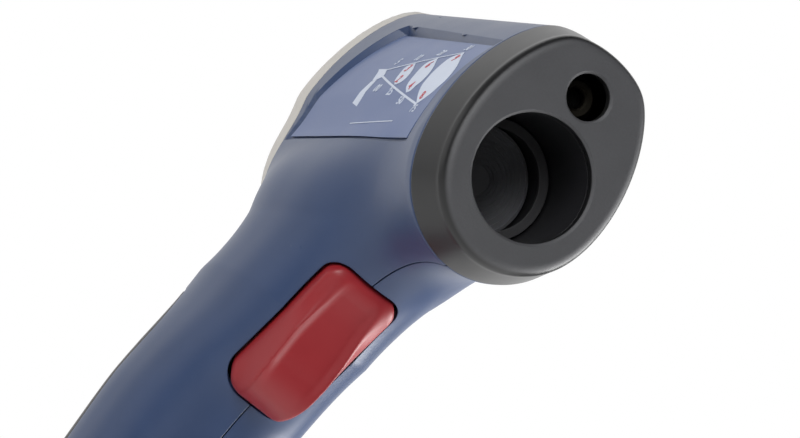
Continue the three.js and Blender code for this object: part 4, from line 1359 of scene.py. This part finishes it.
@dataclass
class Rear:
    """The fascia with its window and three keys, seen from behind."""

    skin: Skin
    housing: Housing
    window: tuple = (25.0, 20.0, 2.5)  # width, height, corner
    window_rise: float = 14.0
    seat: float = 1.6
    thickness: float = 1.2
    lip: float = 1.6
    key_radius: float = 3.3
    key_rise: float = -2.8
    proud: float = 0.9
    key_length: float = 6.2
    pitch: float = 8.8
    pocket: tuple = (28.6, 37.0, 7.0)  # width, height, corner
    pocket_rise: float = 10.5

    def build(self, shop: Workshop, outer: Solid, cavity: Solid) -> None:
        """Makes the pieces.

        Args:
            shop: The workshop.
            outer: The housing's skin.
            cavity: The space inside its wall.
        """
        face, z = self.skin.fascia_y, self.skin.sensor_z
        width, height, corner = self.window
        inner = face - self.housing.wall
        body = (outer & self.housing.fascia_block(0)) - cavity
        body = body - prism(rounded_rectangle(*self.pocket), upright(0, z + self.pocket_rise), 0, inner)
        wide, tall = width + 2 * FIT, height + 2 * FIT
        sill = rounded_rectangle(wide, tall, corner + FIT)
        hole = rounded_rectangle(wide - 2 * self.lip, tall - 2 * self.lip, 1.6)
        centre = upright(0, z + self.window_rise)
        body = body - prism(sill, centre, face - self.seat, face + 1)
        body = body - prism(hole, centre, inner - 2, face + 1)
        for k, name in enumerate(("key_right", "key_middle", "key_left")):
            at = ((k - 1) * self.pitch, z + self.key_rise)
            gap = self.key_radius + FIT
            mouth = [(0, inner - 2), (gap, inner - 2), (gap, face - 0.35)]
            mouth += [(gap + 0.6, face + 0.25), (0, face + 0.25)]
            body = body - lathe(mouth, at, segments=72)
            shop.piece(f"{name}_moulded", self.key(at), "key", Slot.KEY, name)
        shop.piece("fascia_moulded", body, "fascia", Slot.FASCIA, "rear_fascia")
        front = face - self.seat + FIT
        edges = rounded_rectangle(width, height, corner)
        back = front + self.thickness
        slab = [(0.988, front), (1, front + 0.2), (1, back - 0.3), (0.98, back)]
        rise = z + self.window_rise
        rings = [[(a * share, y, rise + b * share) for a, b in edges] for share, y in slab]
        shop.piece("window_moulded", loft(np.array(rings)), "clear", Slot.CLEAR, "display_window")

    def key(self, at: Point) -> Solid:
        """A round key with a skirt and a slightly dished top.

        Args:
            at: Its axis, as x and z.

        Returns:
            The solid.
        """
        top, radius = self.skin.fascia_y + self.proud, self.key_radius
        skirt = self.skin.fascia_y - self.housing.wall - 1.6
        profile = [(0, top - self.key_length), (radius, top - self.key_length), (radius, skirt - 1)]
        profile += [(radius + 0.6, skirt - 1), (radius + 0.6, skirt), (radius, skirt)]
        profile += [(radius, top - 0.7), (radius - 0.2, top - 0.2), (radius - 0.7, top)]
        profile += [(radius * 0.5, top - 0.15), (0, top - 0.22)]
        return lathe(profile, at, segments=64)


@dataclass
class Cover:
    """The battery cover on the handle's back."""

    skin: Skin
    housing: Housing
    wall: float = 1.9
    foot: tuple = (8.0, 2.5, 2.25, 3.4, 5.0)  # across, half width, half depth, bottom, top

    def build(self, shop: Workshop, outer: Solid) -> None:
        """Makes the cover.

        Args:
            shop: The workshop.
            outer: The housing's skin.
        """
        inner = self.skin.solid(-self.wall, 0.5, None, 96, (36, 40, 8))
        panel = (outer - inner) & self.housing.cover_region(0, 0)
        across, half, deep, low, high = self.foot
        y = self.housing.back_line(self.housing.cover_bottom) - self.wall - deep + 0.8
        for x in (-across, across):
            panel = panel + block((x - half, y - deep, low), (x + half, y + deep, high))
        shop.piece("cover_moulded", panel, "cover", Slot.COVER, "battery_cover")


@dataclass
class Trigger:
    """The red trigger: low at its top, standing out below, with a ridge down each side."""

    shape: TriggerShape
    face: tuple = (  # share of half the length, height, half width between the ridges
        (1.02, -1.0, 5.4),
        (0.86, 0.7, 5.8),
        (0.53, 2.0, 6.2),
        (0.16, 4.4, 7.0),
        (-0.16, 6.9, 7.0),
        (-0.43, 8.3, 6.6),
        (-0.66, 7.6, 6.0),
        (-0.85, 5.0, 5.5),
        (-0.97, 1.8, 5.0),
        (-1.02, -1.0, 5.0),
    )
    brink: float = -0.8
    under: float = 3.4
    ridge: float = 1.1  # rounding of the ridges
    dish: float = 0.7
    band: float = 2.6  # width of the slope from a ridge to the face
    edge: float = 0.8
    pin: tuple = (13.6, 11.5, 1.3)  # along, depth, radius of its hole
    lug: tuple = (2.7, 2.6, 7.2)  # radius, and the places across of both ends
    switch_along: float = -6.0
    actuator: tuple = (2.5, 2.0, 7.2)  # half width, half length, depth

    def height(self, a: np.ndarray, b: np.ndarray) -> np.ndarray:
        """How far the face stands out of the trigger's plane.

        Args:
            a: Places across.
            b: Places along.

        Returns:
            Heights in millimetres.
        """
        line = flowing([(share * 100, high * 100) for share, high, _ in self.face], 90)[::-1]
        ridges = np.array([(share, ridge) for share, _, ridge in self.face])[::-1]
        share = b / (self.shape.length / 2)
        high = np.interp(share, line[:, 0], line[:, 1])
        ridge = np.interp(share, ridges[:, 0], ridges[:, 1])
        half = self.shape.width / 2
        brink = np.minimum(self.brink, high - 0.3)
        flank = high + (brink - high) * (np.abs(a) - ridge) / (half - ridge)
        run = np.clip((ridge - np.abs(a)) / self.band, 0, 1)
        fade = np.clip((share + 0.62) / 0.4, 0, 1) * np.clip((1.0 - share) / 0.25, 0, 1)
        floor = high - self.dish * run * run * (3 - 2 * run) * fade
        return -smooth_max(-floor, -flank, self.ridge)

    def under_side(self, a: np.ndarray, b: np.ndarray) -> np.ndarray:
        """Height of the back, which follows the housing's skin.

        Args:
            a: Places across.
            b: Places along.

        Returns:
            Heights in millimetres.
        """
        c, up, out = self.shape.centre, self.shape.up, self.shape.out
        low, high = np.full(a.shape, -16.0), np.full(a.shape, 10.0)
        for _ in range(22):
            d = (low + high) / 2
            y, z = c[1] + up[1] * b + out[1] * d, c[2] + up[2] * b + out[2] * d
            away = self.shape.skin.distance(a, y, z) > -self.under
            high, low = np.where(away, d, high), np.where(away, low, d)
        return high

    def rings(self, shares: np.ndarray, count: int = 150) -> tuple[np.ndarray, np.ndarray]:
        """Outlines with evenly spaced points, scaled about the middle.

        Args:
            shares: Scale of each outline.
            count: Points in each.

        Returns:
            Arrays of a and of b, one row for each outline.
        """
        line = np.array(self.shape.outline(0, 14))
        line = np.vstack([line, line[:1]])
        along = np.concatenate([[0], np.cumsum(np.linalg.norm(np.diff(line, axis=0), axis=1))])
        at = np.linspace(0, along[-1], count, endpoint=False)
        a, b = (np.interp(at, along, line[:, k]) for k in (0, 1))
        return a[None] * shares[:, None], b[None] * shares[:, None]

    def build(self, shop: Workshop) -> None:
        """Makes the trigger.

        Args:
            shop: The workshop.
        """
        near_edge = 1 - 0.1 * np.cos(np.linspace(0, math.pi / 2, 10))[1:]
        run = np.concatenate([np.linspace(0.02, 0.9, 36), near_edge])
        a, b = self.rings(run)
        top = self.height(a, b)
        away = np.clip((1 - run)[:, None] * self.shape.width / 2, 0, self.edge)
        top -= self.edge - np.sqrt(np.maximum(self.edge**2 - (self.edge - away) ** 2, 0))
        a2, b2 = self.rings(np.linspace(1.0, 0.02, 14))
        back = np.minimum(self.under_side(a2, b2), top[-1] - 0.6)
        a, b, d = np.vstack([a, a2]), np.vstack([b, b2]), np.vstack([top, back])
        points = self.shape.centre + self.shape.up * b[..., None] + self.shape.out * d[..., None]
        points[..., 0] = a
        body = loft(points)
        along, depth, hole = self.pin
        c = self.shape.place(0, along, -depth)
        radius, inner, outer = self.lug
        for low, high in ((-outer, -inner), (inner, outer)):
            lug = rod(radius, low, high, (c[1], c[2]), 48)
            body = body + lug + self.bar(low, high, along, radius, -2, -depth)
        wide, half, tip = self.actuator
        body = body + self.bar(-wide, wide, self.switch_along, half, -1, -tip)
        body = body - rod(hole, -30, 30, (c[1], c[2]), 40)
        shop.piece("trigger_moulded", body, "red", Slot.TRIGGER, "trigger", sharp=40)

    def bar(
        self, low: float, high: float, along: float, half: float, shallow: float, deep: float
    ) -> Solid:
        """A bar in the trigger's frame.

        Args:
            low: Place across of one side.
            high: Place across of the other side.
            along: Middle of its length.
            half: Half its length.
            shallow: Height of one end.
            deep: Height of the other end.

        Returns:
            The solid.
        """
        near, far = along - half, along + half
        outline = [(low, near), (high, near), (high, far), (low, far)]
        return prism(outline, self.shape.place, deep, shallow)


# ---- Printed side -------------------------------------------------------------------------------


def flowing(points: Sequence[Point], count: int) -> np.ndarray:
    """A smooth line through points.

    Args:
        points: Points [s, t] in hundredths.
        count: Points wanted.

    Returns:
        The line as shares.
    """
    p = np.array(points, float) / 100
    p = np.vstack([2 * p[0] - p[1], p, 2 * p[-1] - p[-2]])
    at = np.linspace(0, len(points) - 1 - 1e-9, count)
    i, u = at.astype(int), (at % 1)[:, None]
    a, b, c, d = p[i], p[i + 1], p[i + 2], p[i + 3]
    bend, twist = 2 * a - 5 * b + 4 * c - d, 3 * b - a - 3 * c + d
    return 0.5 * (2 * b + (c - a) * u + bend * u**2 + twist * u**3)


@dataclass
class PrintedSide:
    """The sheet in the recess, with a drawing of how the measured spot grows with distance."""

    recess: Recess
    margin: float = 0.02
    gap: float = 0.25
    thickness: float = 0.15
    ink: float = 0.05
    apexes: tuple = (  # every point is in hundredths of the sheet, towards the front and upwards
        ((82.3, 86.3), (88.3, 32)),
        ((67.1, 77.7), (72.9, 41.5)),
        ((54.1, 70.2), (57.8, 47.7)),
    )
    inner: tuple = (
        ((77.4, 78.9), (78.3, 65.4), (80.9, 52.3), (83.1, 42.3)),
        ((63.4, 70.8), (65.7, 58.9), (68.7, 49)),
        ((49.9, 66.1), (52, 57.9), (54.4, 51.7)),
    )
    outer: tuple = (
        ((93, 69.6), (96.9, 54.8), (94.5, 42.8)),
        ((75.2, 65.1), (77.9, 53.4), (75.8, 44)),
        ((59.1, 63), (61.6, 55.3), (60.9, 49.7)),
    )
    head: tuple = (((28.4, 61.4), (35.8, 62.0)), ((31, 58), (39.6, 55.4)), ((34.6, 50), (36.6, 50.6)))
    stem: tuple = (((34.2, 30.2), (39.8, 27.7)), ((34.4, 40), (39.2, 38)), ((34.5, 49.3), (37.7, 51.2)))
    upper: tuple = (((34.2, 59.5), (82.3, 85.7)), ((34.2, 60.7), (82.3, 86.9)))
    lower: tuple = (((38.9, 54.2), (88.3, 31.1)), ((38.9, 55.8), (88.3, 32.9)))
    scale: tuple = (((45, 13.0), (79, 16.0)), ((45, 13.8), (79, 16.8)))
    letter: float = 1.4  # size of the font for a figure of 1
    pale_size: float = 2.2
    red_size: float = 2.4
    pale: tuple = (
        ("5", 37.1, 70), ("10", 49.8, 76), ("20", 63.7, 83.3), ("30", 79.8, 91.9),
        ("00", 46.1, 43.4), ("25", 59.6, 41.3), ("50", 72.9, 34.4), ("75", 88.8, 27.8),
    )
    red: tuple = (
        ("3", 53.7, 64.3), ("6", 67.7, 69.5), ("9", 82.5, 79.1),
        ("2", 56.8, 53.1), ("4", 73, 47.4), ("8", 88.3, 39.8),
    )

    def strip(self, low: np.ndarray, high: np.ndarray, lift: float, columns: int = 5) -> Solid:
        """A thin printed patch between two lines on the sheet.

        Args:
            low: One edge, as shares.
            high: The other, with as many points.
            lift: Height over the floor of the recess.
            columns: Steps between the two.

        Returns:
            The solid.
        """
        share = np.linspace(0, 1, columns)[None, :, None]
        flat = low[:, None] * (1 - share) + high[:, None] * share
        faces = [self.recess.on_floor(flat[..., 0], flat[..., 1], lift + up) for up in (0.0, self.ink)]
        rings = np.concatenate([faces[1], faces[0][:, ::-1]], 1)
        return loft(rings)

    def figure(self, text: str, s: float, t: float, size: float, lift: float) -> Solid:
        """A numeral lying on the sheet.

        Args:
            text: The character.
            s: Middle, in hundredths towards the front.
            t: Middle, in hundredths upwards.
            size: Height in millimetres.
            lift: Height over the floor of the recess.

        Returns:
            The solid.
        """
        curve = bpy.data.curves.new("figure", "FONT")
        curve.body, curve.align_x, curve.align_y = text, "CENTER", "CENTER"
        curve.extrude, curve.resolution_u, curve.offset = 0.5, 3, 0.02
        flat = bpy.data.objects.new("figure", curve)
        bpy.context.scene.collection.objects.link(flat)
        graph = bpy.context.evaluated_depsgraph_get()
        mesh = bpy.data.meshes.new_from_object(flat.evaluated_get(graph))
        bpy.data.objects.remove(flat)
        points = np.array([v.co for v in mesh.vertices])
        long = self.recess.rear[0][0] - self.recess.front[0][0]
        tall = self.recess.rear[1][1] - self.recess.rear[0][1]
        x, y = (points[:, k] * size * self.letter for k in (0, 1))
        level = lift + np.where(points[:, 2] > 0, self.ink, 0.0)
        placed = self.recess.on_floor(s / 100 + x / long, t / 100 + y / tall, level)
        for vertex, point in zip(mesh.vertices, placed, strict=True):
            vertex.co = Vector(point) * MM
        mesh.update()
        return Solid(mesh)

    def show(self, shop: Workshop, name: str, solid: Solid, finish: str = "ink_pale") -> None:
        """Adds a printed piece to the sheet."""
        shop.piece(f"print_{name}", solid, finish, Slot.LABEL, "side_label", False)

    def build(self, shop: Workshop) -> None:
        """Makes the sheet and its print.

        Args:
            shop: The workshop.
        """
        grid = np.linspace(0, 1, 25)
        s = self.margin / 2 + grid * (1 - self.margin)
        rings = []
        for t in self.margin + grid * (1 - 2 * self.margin):
            under = self.recess.on_floor(s, np.full_like(s, t), self.gap)
            rings.append(np.vstack([under, (under - [self.thickness, 0, 0])[::-1]]))
        shop.piece("side_sheet", loft(np.stack(rings)), "label", Slot.LABEL, "side_label")
        lift = self.gap + self.thickness + 0.02
        for k, (top, bottom) in enumerate(self.apexes):
            edges = [flowing([top, *via, bottom], 26) for via in (self.inner[k], self.outer[k])]
            edges[1][[0, -1]] += 0.0006
            self.show(shop, f"spot_{k}", self.strip(*edges, lift))
        lines = {"upper": self.upper, "lower": self.lower, "scale": self.scale}
        for name, pair in lines.items():
            self.show(shop, name, self.strip(*(flowing(line, 26) for line in pair), lift + 0.01, 3))
        for name, rows in (("head", self.head), ("stem", self.stem)):
            edges = [flowing([row[k] for row in rows], 10) for k in (0, 1)]
            self.show(shop, name, self.strip(*edges, lift))
        figures = [("ink_pale", self.pale, self.pale_size, lift)]
        figures.append(("ink_red", self.red, self.red_size, lift + 0.07))
        for finish, rows, size, height in figures:
            for k, (text, s, t) in enumerate(rows):
                self.show(shop, f"{finish}_{k}", self.figure(text, s, t, size, height), finish)


# ---- Studio -------------------------------------------------------------------------------------


@dataclass
class Studio:
    """Camera, lights, floor and surroundings."""

    place: tuple = (-224.748, -742.611, -80.661)
    right: tuple = (0.73864, -0.37478, 0.56031)
    up: tuple = (-0.60481, -0.00137, 0.79637)
    back: tuple = (-0.2977, -0.92711, -0.22769)
    lens: float = 157.5
    target: tuple = (0.0, -40.0, 75.0)
    floor_drop: float = 0.35  # in metres
    floor_half: float = 4.0  # in metres
    surround: float = 0.09
    lights: tuple = (  # right, up and back of the target in mm, size in mm, watts
        ((-140, 140, -800), 1500, 7.5),
        ((-620, 420, -60), 500, 0.7),
        ((560, -420, -160), 520, 10.0),
        ((-60, 560, 620), 520, 6.5),
    )

    def frame_matrix(self) -> Matrix:
        """The camera's axes as a rotation."""
        return Matrix((self.right, self.up, self.back)).transposed()

    def build(self) -> None:
        """Sets up the studio."""
        scene = bpy.context.scene
        camera = bpy.data.objects.new("camera", bpy.data.cameras.new("camera"))
        camera.data.lens, camera.data.sensor_width, camera.data.clip_start = self.lens, 36.0, 0.01
        camera.matrix_world = Matrix.Translation(Vector(self.place) * MM) @ self.frame_matrix().to_4x4()
        scene.collection.objects.link(camera)
        scene.camera = camera
        for k, (offset, size, power) in enumerate(self.lights):
            self.light(f"light_{k}", offset, size, power)
        self.floor()
        self.world()
        scene.view_settings.view_transform = "Standard"

    def light(self, name: str, offset: Point, size: float, power: float) -> None:
        """Adds a square soft light that faces the object.

        Args:
            name: Its name.
            offset: Right, up and back of the target, as the camera sees it.
            size: Side in millimetres.
            power: Watts.
        """
        lamp = bpy.data.lights.new(name, "AREA")
        lamp.energy, lamp.size = power, size * MM
        made = bpy.data.objects.new(name, lamp)
        axes = (self.right, self.up, self.back)
        away = sum((Vector(axis) * part for axis, part in zip(axes, offset, strict=True)), Vector())
        made.location = (Vector(self.target) + away) * MM
        made.rotation_euler = away.to_track_quat("Z", "Y").to_euler()
        bpy.context.scene.collection.objects.link(made)

    def floor(self) -> None:
        """Adds a pale floor under the object."""
        mesh = bpy.data.meshes.new("floor")
        corners = ((-1, -1), (1, -1), (1, 1), (-1, 1))
        points = [(x * self.floor_half, y * self.floor_half, -self.floor_drop) for x, y in corners]
        mesh.from_pydata(points, [], [(0, 1, 2, 3)])
        mesh.materials.append(self.floor_finish())
        made = bpy.data.objects.new("floor", mesh)
        bpy.context.scene.collection.objects.link(made)

    def floor_finish(self) -> bpy.types.Material:
        """A pale floor that looks evenly bright.

        Returns:
            The material.
        """
        made, nodes = fresh("floor")
        seen = nodes.number("ShaderNodeLightPath", None, None, "Is Camera Ray")
        paint = {"Base Color": (0.8, 0.8, 0.8, 1.0), "Roughness": 0.9}
        dull = nodes.node("ShaderNodeBsdfPrincipled", None, paint).outputs[0]
        glow = nodes.node("ShaderNodeEmission", None, {"Color": (0.82, 0.82, 0.83, 1.0)}).outputs[0]
        mix = nodes.node("ShaderNodeMixShader", None, {0: seen, 1: dull, 2: glow}).outputs[0]
        nodes.node("ShaderNodeOutputMaterial", None, {"Surface": mix})
        return made

    def world(self) -> None:
        """Makes the surroundings white, and dimmer as a source of light."""
        world = bpy.data.worlds.new("studio")
        world.use_nodes = True
        bpy.context.scene.world = world
        nodes = Nodes(world.node_tree)
        seen = nodes.number("ShaderNodeLightPath", None, None, "Is Camera Ray")
        shade = nodes.node("ShaderNodeBackground", None, {"Strength": self.surround}).outputs[0]
        white = nodes.node("ShaderNodeBackground", None, {"Color": (1, 1, 1, 1)}).outputs[0]
        mix = nodes.node("ShaderNodeMixShader", None, {0: seen, 1: shade, 2: white}).outputs[0]
        nodes.node("ShaderNodeOutputWorld", None, {"Surface": mix})


FINISHES = (
    Moulding("blue", srgb(44, 62, 96), 0.4, grain=0.35, relief=0.012, edge=0.35),
    NoseMoulding("nose", (0.008, 0.0082, 0.0088), 0.33, edge=0.3),
    Moulding("tunnel", (0.012, 0.012, 0.014), 0.4, edge=0.1),
    Moulding("ring", (0.05, 0.05, 0.054), 0.6, grain=0.35, relief=0.05, edge=0.1),
    Moulding("lens", (0.3, 0.305, 0.33), 0.3, relief=0.002, edge=0.05),
    Moulding("red", srgb(138, 28, 34), 0.45, grain=0.5, relief=0.006, mottle=0.06, edge=0.3),
    Moulding("fascia", srgb(190, 186, 180), 0.5, edge=0.3),
    Moulding("cover", srgb(72, 71, 72), 0.6, grain=0.5, relief=0.03, edge=0.25),
    Moulding("key", srgb(60, 60, 62), 0.7, grain=0.4, edge=0.2),
    Moulding("label", srgb(78, 96, 138), 0.42, relief=0.003, mottle=0.05, edge=0.05),
    Moulding("ink_pale", srgb(190, 198, 214), 0.5, relief=0.002, mottle=0.03, edge=0.02),
    Moulding("ink_red", srgb(176, 50, 66), 0.5, relief=0.002, mottle=0.03, edge=0.02),
    Moulding("board", srgb(28, 92, 58), 0.4, grain=1.2, relief=0.01, mottle=0.2),
    Moulding("chip", srgb(26, 26, 28), 0.45),
    Moulding("flex", srgb(196, 132, 60), 0.35),
    Moulding("can", srgb(38, 66, 52), 0.3, mottle=0.2),
    Moulding("lead_red", srgb(180, 30, 30), 0.4),
    Moulding("lead_black", srgb(24, 24, 24), 0.4),
    Moulding("lcd", srgb(146, 158, 136), 0.25, relief=0.001, mottle=0.04),
    Metal("steel", (0.62, 0.63, 0.65)),
    Metal("dark_brass", (0.05, 0.045, 0.035), 0.5),
    ClearPlastic("clear"),
)

LEFT_AS_PACKED = {
    "sensor_holder": "tunnel",
    "thermopile_sensor": "steel",
    "sensor_board": "board",
    "lcd_panel": "lcd",
    "lcd_frame": "tunnel",
    "key_mat": "key",
    "display_board": "board",
    "controller_chip": "chip",
    "buzzer": "chip",
    "flex_cable": "flex",
    "battery": "can",
    "battery_snap": "chip",
    "lead_positive": "lead_red",
    "lead_negative": "lead_black",
    "trigger_pin": "steel",
    "trigger_spring": "steel",
    "trigger_switch": "chip",
    "switch_plunger": "steel",
    "switch_board": "board",
}


def main() -> None:
    """Builds every piece, then the studio."""
    logging.basicConfig(level=logging.INFO, format="%(message)s")
    bodies = frame["record"]["behaviour"]["bodies"]
    shop = Workshop(
        {finish.name: finish.material() for finish in FINISHES},
        {node: body for body, nodes in bodies.items() for node in nodes},
    )
    skin = Skin(sensor_z=101.5, nose_y=-99.0, fascia_y=9.2)
    recess, shape = Recess(skin), TriggerShape(skin)
    housing = Housing(skin, recess, shape)
    outer, cavity = housing.build(shop)
    for node, y, z in housing.screws:
        Screw().build(shop, node, y, z)
    Nose(skin).build(shop)
    Optics(skin).build(shop)
    Rear(skin, housing).build(shop, outer, cavity)
    Cover(skin, housing).build(shop, outer)
    Trigger(shape).build(shop)
    PrintedSide(recess).build(shop)
    for node, finish in LEFT_AS_PACKED.items():
        shop.dress(node, finish)
    Studio().build()


if __name__ == "__main__":
    main()
